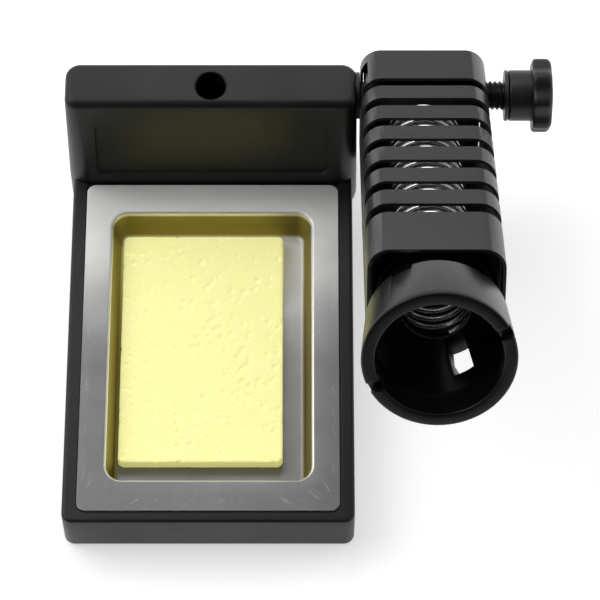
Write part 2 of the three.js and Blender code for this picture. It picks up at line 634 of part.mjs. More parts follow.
function frontPlate() {
  const plate = solid(prism(plateSquare(), FRONT_PLATE, FRONT_PLATE + FRONT_PLATE_THICKNESS));
  const [start, end] = [FRONT_PLATE - OVERSHOOT, FLANGE_REAR];
  const centre = solid(cylinder(SPIGOT_RADIUS + SEAT_GAP, start, end).translate(0, TUBE_AXIS, 0));
  const holes = [-1, 1].map((side) => funnelScrewHole(side, FUNNEL_SCREW_RADIUS + SEAT_GAP, start, end));
  return cut(plate, centre, ...holes);
}

function funnelBody() {
  const spigotRear = FLANGE_REAR - SPIGOT_LENGTH;
  const profile = [
    [SPRING_POCKET, spigotRear],
    [SPIGOT_RADIUS, spigotRear],
    [SPIGOT_RADIUS, FLANGE_REAR],
    [FLANGE_RADIUS, FLANGE_REAR],
    [FLANGE_RADIUS, FLANGE_FRONT],
    [NECK_RADIUS, FLANGE_FRONT],
    [NECK_RADIUS, RING_REAR],
    [RING_REAR_RADIUS, RING_REAR],
    [RIM_RADIUS, RIM],
    [RIM_BORE, RIM],
    [RIM_BORE, RIM - CUP_DEPTH],
    [THROAT_RADIUS, THROAT_FRONT],
    [THROAT_RADIUS, SPRING_SEAT],
    [SPRING_POCKET, SPRING_SEAT],
    [SPRING_POCKET, spigotRear],
  ];
  return solid(turned(profile));
}

function funnel() {
  const across = 2 * RIM_RADIUS + 2 * OVERSHOOT;
  const notch = box(across, NOTCH_WIDTH, 2 * NOTCH_DEPTH).rotateZ(NOTCH_ANGLE).translate(0, 0, RIM);
  const window = box(2 * WINDOW_OUTER, WINDOW_WIDTH, WINDOW_LENGTH).rotateZ(WINDOW_ANGLE);
  window.translate(0, 0, RIM - WINDOW_FROM_RIM - WINDOW_LENGTH / 2);
  const rearNotch = box(across, WINDOW_WIDTH, 2 * RING_REAR_NOTCH).rotateZ(WINDOW_ANGLE);
  rearNotch.translate(0, 0, RING_REAR);
  const body = cut(funnelBody(), solid(notch), solid(window), solid(rearNotch)).translate(0, TUBE_AXIS, 0);
  const depth = FLANGE_REAR + FUNNEL_SCREW_DEPTH + SEAT_GAP;
  const pilots = [-1, 1].map((side) =>
    funnelScrewHole(side, FUNNEL_SCREW_RADIUS + SEAT_GAP, FLANGE_REAR - OVERSHOOT, depth),
  );
  return cut(body, ...pilots);
}

function funnelScrew(side) {
  const head = FRONT_PLATE - SEAT_GAP;
  const profile = [
    [0, head - FUNNEL_SCREW_HEAD_HEIGHT],
    [FUNNEL_SCREW_HEAD_RADIUS, head - FUNNEL_SCREW_HEAD_HEIGHT],
    [FUNNEL_SCREW_HEAD_RADIUS, head],
    [FUNNEL_SCREW_RADIUS, head],
    [FUNNEL_SCREW_RADIUS, FLANGE_REAR + FUNNEL_SCREW_DEPTH],
    [0, FLANGE_REAR + FUNNEL_SCREW_DEPTH],
  ];
  return solid(turned(profile, SMALL_FACETS).translate(side * funnelScrewRadiusAt, TUBE_AXIS, 0));
}

class Helix extends THREE.Curve {
  constructor(radius, start, end, pitch) {
    super();
    Object.assign(this, { radius, start, end, turns: (end - start) / pitch });
    this.arcLengthDivisions = 64 * Math.ceil(this.turns);
  }
  getPoint(t, target = new THREE.Vector3()) {
    const angle = 2 * Math.PI * this.turns * t;
    const along = this.start + (this.end - this.start) * t;
    return target.set(this.radius * Math.cos(angle), this.radius * Math.sin(angle), along);
  }
}

function spring() {
  const wire = SPRING_WIRE / 2;
  const start = SPRING_BACK - PIVOT_FROM_BACK + wire;
  const end = SPRING_SEAT - SEAT_GAP - wire;
  const path = new Helix(SPRING_RADIUS - wire, start, end, SPRING_PITCH);
  const section = new THREE.Shape();
  for (let i = 0; i < SPRING_SIDES; i++) {
    const angle = (2 * Math.PI * i) / SPRING_SIDES;
    const corner = [wire * Math.cos(angle), wire * Math.sin(angle)];
    if (i) section.lineTo(...corner);
    else section.moveTo(...corner);
  }
  const steps = Math.round(SPRING_STEPS * path.turns);
  const coil = new THREE.ExtrudeGeometry(section, { steps, extrudePath: path, bevelEnabled: false });
  return solid(coil.translate(0, TUBE_AXIS, 0));
}

// The sleeve ends where its upper edge meets the rounded corners inside the tube.
function pivotSleeve() {
  const corner = TUBE_CORNER - TUBE_SHEET;
  const intoCorner = Math.max(0, SLEEVE_RADIUS - (PIVOT_BELOW_TOP - TUBE_CORNER));
  const cornerRise = corner - Math.sqrt(corner ** 2 - intoCorner ** 2);
  const half = TUBE_INNER / 2 - SEAT_GAP - cornerRise;
  return solid(alongX(ring(STUD_HOLE, SLEEVE_RADIUS, -half, half)));
}

// ---- assembly -------------------------------------------------------------------------------------

const finish = (color, roughness, metalness) =>
  new THREE.MeshStandardMaterial({ color, roughness, metalness });
const BLACK_PLASTIC = finish(0x2b2c2b, 0.55, 0);
const PLAIN_STEEL = finish(0x9b9b98, 0.45, 0.9);
const SCREW_STEEL = finish(0xb4b4b0, 0.35, 1);
const RUBBER = finish(0x1c1c1c, 0.9, 0);
const BRASS = finish(0xc8a24e, 0.35, 1);
const TRAY_STEEL = finish(0xc9c9c6, 0.35, 1);
const SPONGE_YELLOW = finish(0xfff2a6, 0.95, 0);
const PAINTED_STEEL = finish(0x3a3b39, 0.5, 0.1);
const BLACK_OXIDE = finish(0x242423, 0.4, 0.8);
const BAKELITE = finish(0x151515, 0.3, 0);
const SPRING_STEEL = finish(0xd6d6d3, 0.2, 1);
const NYLON = finish(0x1d1d1c, 0.6, 0);

function piece(name, shape, material) {
  const mesh = new THREE.Mesh(geometryOf(shape), material);
  mesh.name = name;
  return mesh;
}

const eachPlace = (prefix, places, make, material) =>
  Object.entries(places).map(([corner, at]) => piece(prefix + corner, make(at), material));

const stand = new THREE.Group();
stand.add(
  piece("base_housing", baseHousing(), BLACK_PLASTIC),
  piece("bottom_cover", bottomCover(), BLACK_PLASTIC),
  piece("ballast_plate", ballastPlate(), PLAIN_STEEL),
  ...eachPlace("cover_screw_", screwPlaces(), coverScrew, SCREW_STEEL),
  ...eachPlace("foot_", footPlaces(), rubberFoot, RUBBER),
  piece("threaded_insert", threadedInsert(), BRASS),
  piece("friction_washer", frictionWasher(), NYLON),
  piece("sponge_tray", spongeTray(), TRAY_STEEL),
  piece("sponge", cleaningSponge(), SPONGE_YELLOW),
  piece("clamp_washer", clampWasher(), BLACK_OXIDE),
  piece("knob_head", knobHead(), BLACK_PLASTIC),
  piece("knob_stud", knobStud(), BLACK_OXIDE),
);

const holder = new THREE.Group();
holder.position.set(TUBE_MIDDLE, PIVOT_Y, PIVOT_Z);
holder.rotation.x = Math.PI / 2 - HOLDER_TILT;
holder.add(
  piece("holder_cage", holderCage(), PAINTED_STEEL),
  piece("rear_plate", rearPlate(), PAINTED_STEEL),
  piece("front_plate", frontPlate(), PAINTED_STEEL),
  piece("funnel", funnel(), BAKELITE),
  piece("spring", spring(), SPRING_STEEL),
  piece("funnel_screw_left", funnelScrew(-1), SCREW_STEEL),
  piece("funnel_screw_right", funnelScrew(1), SCREW_STEEL),
  piece("pivot_sleeve", pivotSleeve(), BLACK_OXIDE),
);
stand.add(holder);

// The origin is under the middle of the whole stand, on the surface that it stands on.
stand.updateMatrixWorld(true);
const extent = new THREE.Box3().setFromObject(stand, true);
const middle = extent.getCenter(new THREE.Vector3());
stand.position.set(-middle.x, -middle.y, -extent.min.z);

const part = new THREE.Group();
part.add(stand);
export default part;
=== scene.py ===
# %% [markdown]
# # A bench stand for a soldering iron
#
# The stand has three groups of pieces: a moulded black base with a steel sponge tray, a slotted
# sheet-metal holder that tilts beside it, and the screw-in knob that clamps the holder. The CAD model
# already fixes where everything is and how it moves. This lesson builds the fine surfaces around it.
#
# We load the CAD model first, because every place and size below is read from its boxes.

# %% Load the CAD frame
import json
import math

import bmesh
import bpy
from mathutils import Matrix, Vector


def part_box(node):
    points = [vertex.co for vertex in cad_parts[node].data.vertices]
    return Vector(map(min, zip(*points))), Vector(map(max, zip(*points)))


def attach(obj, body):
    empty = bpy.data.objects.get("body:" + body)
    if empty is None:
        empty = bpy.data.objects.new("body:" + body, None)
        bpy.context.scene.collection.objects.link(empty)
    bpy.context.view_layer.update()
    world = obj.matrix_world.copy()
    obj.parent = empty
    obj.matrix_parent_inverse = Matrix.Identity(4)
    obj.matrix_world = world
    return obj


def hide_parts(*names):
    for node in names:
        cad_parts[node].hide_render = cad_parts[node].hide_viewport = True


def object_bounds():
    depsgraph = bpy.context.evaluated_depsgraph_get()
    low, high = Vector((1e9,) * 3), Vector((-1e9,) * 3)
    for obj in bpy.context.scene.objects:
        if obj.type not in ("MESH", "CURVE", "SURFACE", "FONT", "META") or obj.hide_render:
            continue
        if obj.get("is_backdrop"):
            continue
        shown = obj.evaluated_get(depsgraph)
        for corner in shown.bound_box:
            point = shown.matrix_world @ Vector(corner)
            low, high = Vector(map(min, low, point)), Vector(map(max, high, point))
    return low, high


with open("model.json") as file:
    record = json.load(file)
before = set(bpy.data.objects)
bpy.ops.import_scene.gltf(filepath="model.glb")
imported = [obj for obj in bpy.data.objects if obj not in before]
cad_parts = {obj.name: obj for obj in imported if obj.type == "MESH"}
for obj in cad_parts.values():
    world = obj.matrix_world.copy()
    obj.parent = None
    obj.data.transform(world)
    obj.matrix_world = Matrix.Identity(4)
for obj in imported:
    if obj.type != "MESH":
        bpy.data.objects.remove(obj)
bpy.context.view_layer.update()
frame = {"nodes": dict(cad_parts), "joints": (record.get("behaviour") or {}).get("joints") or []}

# %% [markdown]
# ## Working axes
#
# It is easier to think in millimetres, from a corner or a pivot, than in metres from the middle of the
# stand. Two matrices do that: `BASE_AXES` starts at the middle of the base's front edge, and
# `HOLDER_AXES` starts at the pivot, with Y up from the tube and Z along it to the mouth.
# Each mesh is drawn in millimetres and moved once, so its object stays at the origin.

# %% Axes of the base and of the holder
MM = 0.001
HOLDER_TILT = math.radians(31)

housing_low, housing_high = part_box("base_housing")
base_middle = (housing_low.x + housing_high.x) / 2
BASE_AXES = Matrix.Translation((base_middle, housing_low.y, 0)) @ Matrix.Scale(MM, 4)

joints = {joint["name"]: joint for joint in frame["joints"]}
cage_low, cage_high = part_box("holder_cage")
pivot = Vector(joints["holder_tilt"]["pos_m"])
tube_middle = (cage_low.x + cage_high.x) / 2
HOLDER_AXES = (
    Matrix.Translation((tube_middle, pivot.y, pivot.z))
    @ Matrix.Rotation(math.pi / 2 - HOLDER_TILT, 4, "X")
    @ Matrix.Scale(MM, 4)
)
PIVOT_AXES = (
    Matrix.Translation((0, pivot.y, pivot.z)) @ Matrix.Rotation(math.pi / 2, 4, "Y") @ Matrix.Scale(MM, 4)
)
print("base middle", round(base_middle, 4), "tube middle", round(tube_middle, 4))

# %% [markdown]
# ## Camera
#
# A long lens from above and in front keeps the sides nearly parallel, as in a catalogue picture.
# The camera stands a little to the right of the base's middle line and looks down at 62.5 degrees.

# %% Camera
CAMERA_ELEVATION = math.radians(62.5)
LENS = 184.2
CAMERA_RIGHT = 0.0239
CAMERA_IN_FRONT = 0.3165
CAMERA_HEIGHT = 0.7484

camera_data = bpy.data.cameras.new("catalogue_camera")
camera_data.lens = LENS
camera_data.sensor_width = 36
camera = bpy.data.objects.new("catalogue_camera", camera_data)
camera.location = (base_middle + CAMERA_RIGHT, housing_low.y - CAMERA_IN_FRONT, CAMERA_HEIGHT)
camera.rotation_euler = (math.pi / 2 - CAMERA_ELEVATION, 0, 0)
bpy.context.scene.collection.objects.link(camera)
bpy.context.scene.camera = camera
print("camera at", tuple(round(v, 3) for v in camera.location))

# %% [markdown]
# ## Tools for node trees
#
# The world, the materials and the Geometry Nodes are all trees of nodes, which take many lines when
# they are written out. These short functions do what repeats. Each one adds a node, and an input takes
# either a plain value or the output of another node.


# %% Node helpers
def feed(tree, node, values):
    """Gives each named input its value, or links it when the value is another node's output."""
    for label, value in values.items():
        if isinstance(value, bpy.types.NodeSocket):
            tree.links.new(value, node.inputs[label])
        else:
            node.inputs[label].default_value = value


def add_node(tree, kind, values=None, **settings):
    """Adds a node, sets its properties, and feeds its inputs."""
    node = tree.nodes.new(kind)
    for key, value in settings.items():
        setattr(node, key, value)
    feed(tree, node, values or {})
    return node


def math_node(tree, operation, *values):
    return add_node(tree, "ShaderNodeMath", dict(enumerate(values)), operation=operation).outputs[0]


def vector_node(tree, operation, values):
    return add_node(tree, "ShaderNodeVectorMath", values, operation=operation).outputs[0]


def ramp(tree, value, start, end, low=0.0, high=1.0, shape="SMOOTHSTEP"):
    """Maps a value from the range start to end onto the range low to high."""
    values = {"Value": value, "From Min": start, "From Max": end, "To Min": low, "To Max": high}
    return add_node(tree, "ShaderNodeMapRange", values, interpolation_type=shape).outputs["Result"]


def noise(tree, place, scale, detail=2.0, roughness=0.5):
    values = {"Vector": place, "Scale": scale, "Detail": detail, "Roughness": roughness}
    return add_node(tree, "ShaderNodeTexNoise", values).outputs["Fac"]


# %% [markdown]
# ## Light
#
# Black pieces show the room rather than their own colour, so the room matters more than any lamp.
# The world is bright behind the stand, which gives the top faces their long pale sheen, dimmer straight
# overhead, and almost black in front, which keeps the front faces deep. A large soft lamp on the left
# throws the faint shadow, and a small weak one behind lifts the tray.

# %% World and lamps
WORLD_BACK = 1.0
WORLD_ABOVE = 0.36
WORLD_FRONT = 0.03
WHITE = (1, 1, 1, 1)


def studio_world():
    world = bpy.data.worlds.new("studio")
    world.use_nodes = True
    tree = world.node_tree
    direction = tree.nodes.new("ShaderNodeTexCoord").outputs["Generated"]
    axes = add_node(tree, "ShaderNodeSeparateXYZ", {0: direction}).outputs
    from_front = ramp(tree, axes["Y"], -0.6, 0.1, WORLD_FRONT, WORLD_BACK)
    overhead = ramp(tree, axes["Z"], 0.76, 0.94, 1.0, WORLD_ABOVE / WORLD_BACK)
    strength = math_node(tree, "MULTIPLY", from_front, overhead)
    feed(tree, tree.nodes["Background"], {"Color": WHITE, "Strength": strength})
    return world


def soft_lamp(name, place, target, size, power):
    data = bpy.data.lights.new(name, "AREA")
    data.shape, data.size, data.energy = "DISK", size, power
    lamp = bpy.data.objects.new(name, data)
    lamp.location = place
    lamp.rotation_euler = (Vector(target) - Vector(place)).to_track_quat("-Z", "Y").to_euler()
    bpy.context.scene.collection.objects.link(lamp)


bpy.context.scene.world = studio_world()
soft_lamp("left_softbox", (-0.7, 0.25, 0.9), (0, 0, 0.03), 0.8, 3.5)
soft_lamp("back_softbox", (-0.03, 0.33, 0.48), (-0.03, 0.03, 0.02), 0.3, 0.35)
bpy.context.scene.view_settings.view_transform = "Standard"
print("lamps:", [lamp.name for lamp in bpy.data.lights])

# %% [markdown]
# ## Small tools for meshes
#
# Moulded and pressed pieces are mostly outlines swept through a few levels, with every edge rounded.
# `rounded_path` puts an arc on each corner of an outline, `loft` joins a stack of equal rings into a
# skin, and `turned` spins a profile. They are written once here and used for most pieces.


# %% Outlines with rounded corners
def rounded_path(corners, steps=6, closed=True):
    """corners are (x, y, radius); each corner becomes an arc that touches both of its sides."""
    points = []
    count = len(corners)
    for i, (x, y, radius) in enumerate(corners):
        here = Vector((x, y))
        if radius <= 0 or (not closed and i in (0, count - 1)):
            points.append(here)
            continue
        before = (Vector(corners[i - 1][:2]) - here).normalized()
        after = (Vector(corners[(i + 1) % count][:2]) - here).normalized()
        half = before.angle(after) / 2
        centre = here + (before + after).normalized() * (radius / math.sin(half))
        start = here + before * (radius / math.tan(half)) - centre
        end = here + after * (radius / math.tan(half)) - centre
        turn = start.angle_signed(end)
        for k in range(steps + 1):
            points.append(centre + Matrix.Rotation(-turn * k / steps, 2) @ start)
    return points


def rounded_rect(half_width, low, high, low_radius, high_radius, level, steps=8):
    """A ring round a rectangle that is centred in X and runs from low to high in Y."""
    corners = [(-half_width, low, low_radius), (half_width, low, low_radius)]
    corners += [(half_width, high, high_radius), (-half_width, high, high_radius)]
    return [Vector((p.x, p.y, level)) for p in rounded_path(corners, steps)]


def quarter_turn(steps):
    """(sine, cosine) pairs from 0 to 90 degrees."""
    angles = [math.pi / 2 * k / steps for k in range(steps + 1)]
    return [(math.sin(angle), math.cos(angle)) for angle in angles]


# %% Skins through rings
def loft(rings, cap_start=True, cap_end=True, wrap=False):
    """Joins rings of equal length with quads. Wrap joins the last ring to the first."""
    shape = bmesh.new()
    rows = [[shape.verts.new(p) for p in ring] for ring in rings]
    pairs = list(zip(rows, rows[1:])) + ([(rows[-1], rows[0])] if wrap else [])
    for lower, upper in pairs:
        for i in range(len(lower)):
            j = (i + 1) % len(lower)
            shape.faces.new((lower[i], lower[j], upper[j], upper[i]))
    if cap_start and not wrap:
        shape.faces.new(list(reversed(rows[0])))
    if cap_end and not wrap:
        shape.faces.new(rows[-1])
    bmesh.ops.remove_doubles(shape, verts=shape.verts, dist=1e-5)
    bmesh.ops.recalc_face_normals(shape, faces=shape.faces)
    return shape


def turned(profile, steps=96):
    """Spins (radius, height) points about Z. A profile that starts and ends on the axis is closed there."""
    angles = [2 * math.pi * k / steps for k in range(steps)]
    rings = [[Vector((r * math.cos(a), r * math.sin(a), height)) for a in angles] for r, height in profile]
    return loft(rings, cap_start=False, cap_end=False, wrap=profile[0][0] >= 1e-6)


# %% From a shape to a mesh object, and booleans between objects
def as_object(shape, name, axes):
    mesh = bpy.data.meshes.new(name)
    shape.to_mesh(mesh)
    shape.free()
    mesh.transform(axes)
    item = bpy.data.objects.new(name, mesh)
    bpy.context.scene.collection.objects.link(item)
    return item


def settle(item):
    """Applies an object's modifiers, so that only a plain mesh is left."""
    graph = bpy.context.evaluated_depsgraph_get()
    mesh = bpy.data.meshes.new_from_object(item.evaluated_get(graph))
    item.modifiers.clear()
    item.data = mesh
    return item


def combine(item, others, operation):
    """Joins other objects to item, or cuts them out of it, and removes them."""
    for other in others:
        modifier = item.modifiers.new(operation, "BOOLEAN")
        modifier.operation = operation
        modifier.object = other
        modifier.solver = "EXACT"
        settle(item)
        bpy.data.objects.remove(other)
    return item


def soften_edges(item, width, segments=2, angle=40):
    """A small bevel on every sharp edge, as moulding and deburring leave."""
    bevel = item.modifiers.new("edges", "BEVEL")
    bevel.width = width * MM
    bevel.segments = segments
    bevel.limit_method = "ANGLE"
    bevel.angle_limit = math.radians(angle)
    return settle(item)


def finish_piece(item, body, slot, material, *nodes, sharp=35):
    """Smooth shading, material and the piece's place in the frame."""
    item.data.shade_smooth()
    item.data.set_sharp_from_angle(angle=math.radians(sharp))
    item.data.materials.clear()
    item.data.materials.append(material)
    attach(item, body)
    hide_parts(*nodes)
    print(item.name, "-", len(item.data.polygons), "faces")
    return item


# %% [markdown]
# ## Shared surface effects
#
# Two effects are used by several finishes, so each is a node group with its own inputs:
# **Fine grain** is the tiny unevenness of moulded plastic and powder paint, and **Brushed lines** is
# the straight scratching of rolled or brushed steel. A group only puts out values that change over the
# surface. The shader itself stays in each material.


# %% How a group starts
def shader_group(name, inputs, outputs):
    """An input's kind follows from its value, and every output is a number."""
    group = bpy.data.node_groups.new(name, "ShaderNodeTree")
    for label, value in inputs.items():
        kind = "NodeSocketVector" if isinstance(value, tuple) else "NodeSocketFloat"
        group.interface.new_socket(label, in_out="INPUT", socket_type=kind).default_value = value
    for label in outputs:
        group.interface.new_socket(label, in_out="OUTPUT", socket_type="NodeSocketFloat")
    return group, group.nodes.new("NodeGroupInput").outputs, group.nodes.new("NodeGroupOutput")


def use_group(tree, group, values):
    return add_node(tree, "ShaderNodeGroup", values, node_tree=group).outputs


# %% The fine grain group
def fine_grain_group():
    inputs = {"Position": (0.0, 0.0, 0.0), "Scale": 2500.0, "Patch Scale": 60.0}
    group, given, result = shader_group("Fine grain", inputs, ("Height", "Patches"))
    height = noise(group, given["Position"], given["Scale"], 3.0)
    patches = noise(group, given["Position"], given["Patch Scale"], 4.0)
    feed(group, result, {"Height": height, "Patches": patches})
    return group


FINE_GRAIN = fine_grain_group()
print("group", FINE_GRAIN.name, "with", len(FINE_GRAIN.nodes), "nodes")


# %% The brushed lines group
def brushed_lines_group():
    inputs = {"Position": (0.0, 0.0, 0.0), "Stretch": (1.0, 1.0, 1.0), "Scale": 1.0}
    group, given, result = shader_group("Brushed lines", inputs, ("Height", "Streaks"))
    stretched = vector_node(group, "MULTIPLY", {0: given["Position"], 1: given["Stretch"]})
    lines = noise(group, stretched, given["Scale"], 6.0, 0.7)
    streaks = math_node(group, "MULTIPLY", lines, noise(group, given["Position"], 45.0, 3.0))
    feed(group, result, {"Height": lines, "Streaks": streaks})
    return group


BRUSHED_LINES = brushed_lines_group()
print("group", BRUSHED_LINES.name, "with", len(BRUSHED_LINES.nodes), "nodes")

# %% [markdown]
# ## Finishes
#
# `grained` makes every black finish of the stand: moulded plastic, powder paint, rubber and bakelite
# differ in their base colour, how rough they are and how coarse the grain is. The colour and the
# roughness both drift a little with the grain group's patches, so no face is perfectly even.


# %% Parts that every finish uses
def start_material(name):
    material = bpy.data.materials.new(name)
    material.use_nodes = True
    tree = material.node_tree
    place = tree.nodes.new("ShaderNodeTexCoord").outputs["Object"]
    return material, tree, tree.nodes["Principled BSDF"], place


def grey(value):
    return (value, value, value, 1)


def between(tree, factor, low, high):
    """A noise lies mostly between 0.3 and 0.7, and that part is spread over the range low to high."""
    return ramp(tree, factor, 0.3, 0.7, low, high, "LINEAR")


def blend(tree, mask, under, over):
    """Lays one colour over another where the mask is 1. Each is a plain colour or an output."""
    values = {"Factor": mask, "A": under, "B": over}
    return add_node(tree, "ShaderNodeMix", values, data_type="RGBA").outputs["Result"]


def bump(tree, height, depth, strength, **more):
    """Tilts the surface's normals as heights of this depth in millimetres would."""
    values = {"Height": height, "Distance": depth * MM, "Strength": strength, **more}
    return add_node(tree, "ShaderNodeBump", values).outputs[0]


# %% Grained finishes
def grained(name, dark, light, rough, grain_scale, grain_depth, ior=1.4, metallic=0.0):
    material, tree, shader, place = start_material(name)
    grain = use_group(tree, FINE_GRAIN, {"Position": place, "Scale": grain_scale})
    look = {
        "Base Color": blend(tree, grain["Patches"], grey(dark), grey(light)),
        "Roughness": between(tree, grain["Patches"], rough - 0.05, rough + 0.05),
        "Normal": bump(tree, grain["Height"], grain_depth, 0.5),
        "IOR": ior,
        "Metallic": metallic,
    }
    feed(tree, shader, look)
    return material


BLACK_PLASTIC = grained("moulded black plastic", 0.006, 0.011, 0.42, 2600, 0.035)
BLACK_PAINT = grained("black powder paint", 0.009, 0.014, 0.36, 3600, 0.02, ior=1.5)
BAKELITE = grained("black bakelite", 0.003, 0.005, 0.3, 1500, 0.004, ior=1.34)
KNOB_PLASTIC = grained("knob plastic", 0.008, 0.014, 0.38, 2200, 0.03)
RUBBER = grained("foot rubber", 0.012, 0.02, 0.8, 1800, 0.05)
NYLON = grained("black nylon", 0.015, 0.022, 0.5, 1800, 0.02)
BLACK_OXIDE = grained("black oxide steel", 0.03, 0.06, 0.34, 1700, 0.01, metallic=0.75)
print("grained finishes:", [material.name for material in bpy.data.materials])


# %% [markdown]
# Bare steel is metallic, so its colour is the colour of its reflections. The brushed lines group does
# two things here: its streaks lighten and darken the steel, and its heights change both the roughness
# and the bump along the lines, which is what makes brushed steel look brushed.


# %% Steel finishes
def bare_metal(name, dark, light, rough, stretch, line_depth):
    material, tree, shader, place = start_material(name)
    lines = use_group(tree, BRUSHED_LINES, {"Position": place, "Stretch": stretch})
    look = {
        "Base Color": blend(tree, lines["Streaks"], dark, light),
        "Roughness": between(tree, lines["Height"], rough - 0.08, rough + 0.08),
        "Normal": bump(tree, lines["Height"], line_depth, 0.4),
        "Metallic": 1.0,
    }
    feed(tree, shader, look)
    return material


EVEN = (900, 900, 900)
PLAIN_STEEL = bare_metal("rolled steel", grey(0.3), grey(0.5), 0.42, (30, 900, 900), 0.01)
ZINC_STEEL = bare_metal("zinc plated steel", (0.5, 0.5, 0.48, 1), (0.66, 0.65, 0.62, 1), 0.3, EVEN, 0.005)
SPRING_STEEL = bare_metal("bright spring wire", grey(0.6), grey(0.85), 0.2, (400, 400, 400), 0.004)
BRASS = bare_metal("turned brass", (0.62, 0.42, 0.14, 1), (0.8, 0.58, 0.25, 1), 0.3, (2000, 200, 200), 0.01)
print("steel finishes ready:", len(bpy.data.materials), "materials in all")

# %% [markdown]
# ## The moulded base
#
# The base is one hollow moulding: a low plate, and a block whose front face leans back 12 degrees.
# It could be modelled as a box with a bevel modifier, but the block's corner radius and its lean
# change with height. So both bodies are lofted through level rings, with the edge arcs built in, and
# then joined. The hollow, the tray's recess, the panel and the rod socket are cut afterwards.

# %% Sizes of the base
tray_low, tray_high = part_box("sponge_tray")
FOOT_LEVEL = housing_low.z / MM
BLOCK_TOP = housing_high.z / MM
BLOCK_REAR = (housing_high.y - housing_low.y) / MM
BLOCK_HALF = (housing_high.x - housing_low.x) / MM / 2
TRAY_HALF = (tray_high.x - tray_low.x) / MM / 2
TRAY_BORDER, TRAY_PROUD, RECESS_NEAR, RECESS_DEPTH = 3.9, 0.4, 3.0, 0.4
PLATE_HALF = TRAY_HALF + TRAY_BORDER
PLATE_TOP = tray_high.z / MM - TRAY_PROUD
PLATE_LENGTH, PLATE_CORNER = 100.8, 2.8
BOWL_HALF, BOWL_NEAR, BOWL_FAR, BOWL_CORNER = 27.75, 11.1, 92.2, 5.0
LEAN = math.radians(12)
BLOCK_LEAN, REAR_LEAN, SIDE_DRAFT = math.tan(LEAN), math.tan(math.radians(2)), 0.011
FRONT_RADIUS_LOW, FRONT_RADIUS_TOP, REAR_RADIUS = 7.0, 3.2, 4.0
WALL = 2.5
print("plate top at", round(PLATE_TOP, 2), "block top at", round(BLOCK_TOP, 2))


# %% The two bodies of the base
def front_face(level):
    return PLATE_LENGTH + max(0.0, level - PLATE_TOP) * BLOCK_LEAN


def rear_face(level):
    return BLOCK_REAR - (level - FOOT_LEVEL) * REAR_LEAN


def edge_levels(bottom, top, bottom_radius, top_radius, steps=6):
    """(level, inset) pairs up a wall whose bottom and top edges are arcs."""
    turn = quarter_turn(steps)
    low = [(bottom + bottom_radius * (1 - up), bottom_radius * (1 - across)) for up, across in turn]
    high = [(top - top_radius * (1 - up), top_radius * (1 - across)) for up, across in turn]
    return low[::-1] + high


def block_ring(level, inset):
    rise = (level - FOOT_LEVEL) / (BLOCK_TOP - FOOT_LEVEL)
    front_radius = FRONT_RADIUS_LOW + (FRONT_RADIUS_TOP - FRONT_RADIUS_LOW) * rise - inset
    half = BLOCK_HALF - SIDE_DRAFT * (level - FOOT_LEVEL) - inset
    front, rear = front_face(level) + inset, rear_face(level) - inset
    return rounded_rect(half, front, rear, front_radius, REAR_RADIUS - inset, level)


def block_body():
    levels = edge_levels(FOOT_LEVEL, BLOCK_TOP, 0.5, 2.0)
    split = len(levels) // 2
    levels[split:split] = [(PLATE_TOP, 0.0), ((PLATE_TOP + BLOCK_TOP) / 2, 0.0)]
    return as_object(loft([block_ring(*pair) for pair in levels]), "block", BASE_AXES)


def plate_body():
    rings = []
    for level, inset in edge_levels(FOOT_LEVEL, PLATE_TOP, 0.5, 0.9):
        rear = PLATE_LENGTH + 4 * WALL
        rings.append(rounded_rect(PLATE_HALF - inset, inset, rear, PLATE_CORNER - inset, 0.5, level))
    return as_object(loft(rings), "base_moulding", BASE_AXES)


def prism(outline, bottom, top, name, axes=BASE_AXES):
    rings = [[Vector((p[0], p[1], level)) for p in outline] for level in (bottom, top)]
    return as_object(loft(rings), name, axes)


# %% Cutters for the base
ACROSS = Matrix(((0, 0, 1, 0), (1, 0, 0, 0), (0, 1, 0, 0), (0, 0, 0, 1)))


def cavity():
    thick = WALL / math.cos(LEAN)
    outline = [
        (WALL, -1),
        (rear_face(FOOT_LEVEL) - WALL, -1),
        (rear_face(BLOCK_TOP) - WALL, BLOCK_TOP - WALL),
        (front_face(BLOCK_TOP - WALL) + thick, BLOCK_TOP - WALL),
        (front_face(PLATE_TOP) + thick, PLATE_TOP - WALL),
        (WALL, PLATE_TOP - WALL),
    ]
    half = PLATE_HALF - WALL
    return prism(outline, -half, half, "cavity", BASE_AXES @ ACROSS)


def round_bar(radius, bottom, top, name, axes, steps=64):
    profile = [(0, bottom), (radius, bottom), (radius, top), (0, top)]
    return as_object(turned(profile, steps), name, axes)


def tray_cutters():
    reach = 0.3
    corner = BOWL_CORNER + reach
    recess = rounded_rect(TRAY_HALF + reach, RECESS_NEAR - reach, PLATE_LENGTH, 2.6, 0.4, 0)
    opening = rounded_rect(BOWL_HALF + reach, BOWL_NEAR - reach, BOWL_FAR + reach, corner, corner, 0)
    return [
        prism(recess, PLATE_TOP - RECESS_DEPTH, PLATE_TOP + 1, "recess"),
        prism(opening, 0, PLATE_TOP + 0.5, "opening"),
    ]


PANEL_HALF, PANEL_LOW, PANEL_HIGH, PANEL_DEPTH, PANEL_CORNER = 31.5, 19.6, 38.7, 0.65, 1.6


def panel_cutter():
    """A slab that lies along the leaning front face, with drafted sides."""
    middle = (PANEL_LOW + PANEL_HIGH) / 2
    tall = (PANEL_HIGH - PANEL_LOW) / 2 / math.cos(LEAN)
    rings = [
        rounded_rect(PANEL_HALF - inset, inset - tall, tall - inset, PANEL_CORNER, PANEL_CORNER, -depth)
        for depth, inset in ((-2.0, -0.6), (0.0, 0.0), (PANEL_DEPTH, 0.35))
    ]
    facing = Matrix.Translation((0, front_face(middle), middle)) @ Matrix.Rotation(math.pi / 2 - LEAN, 4, "X")
    return as_object(loft(rings), "panel", BASE_AXES @ facing)


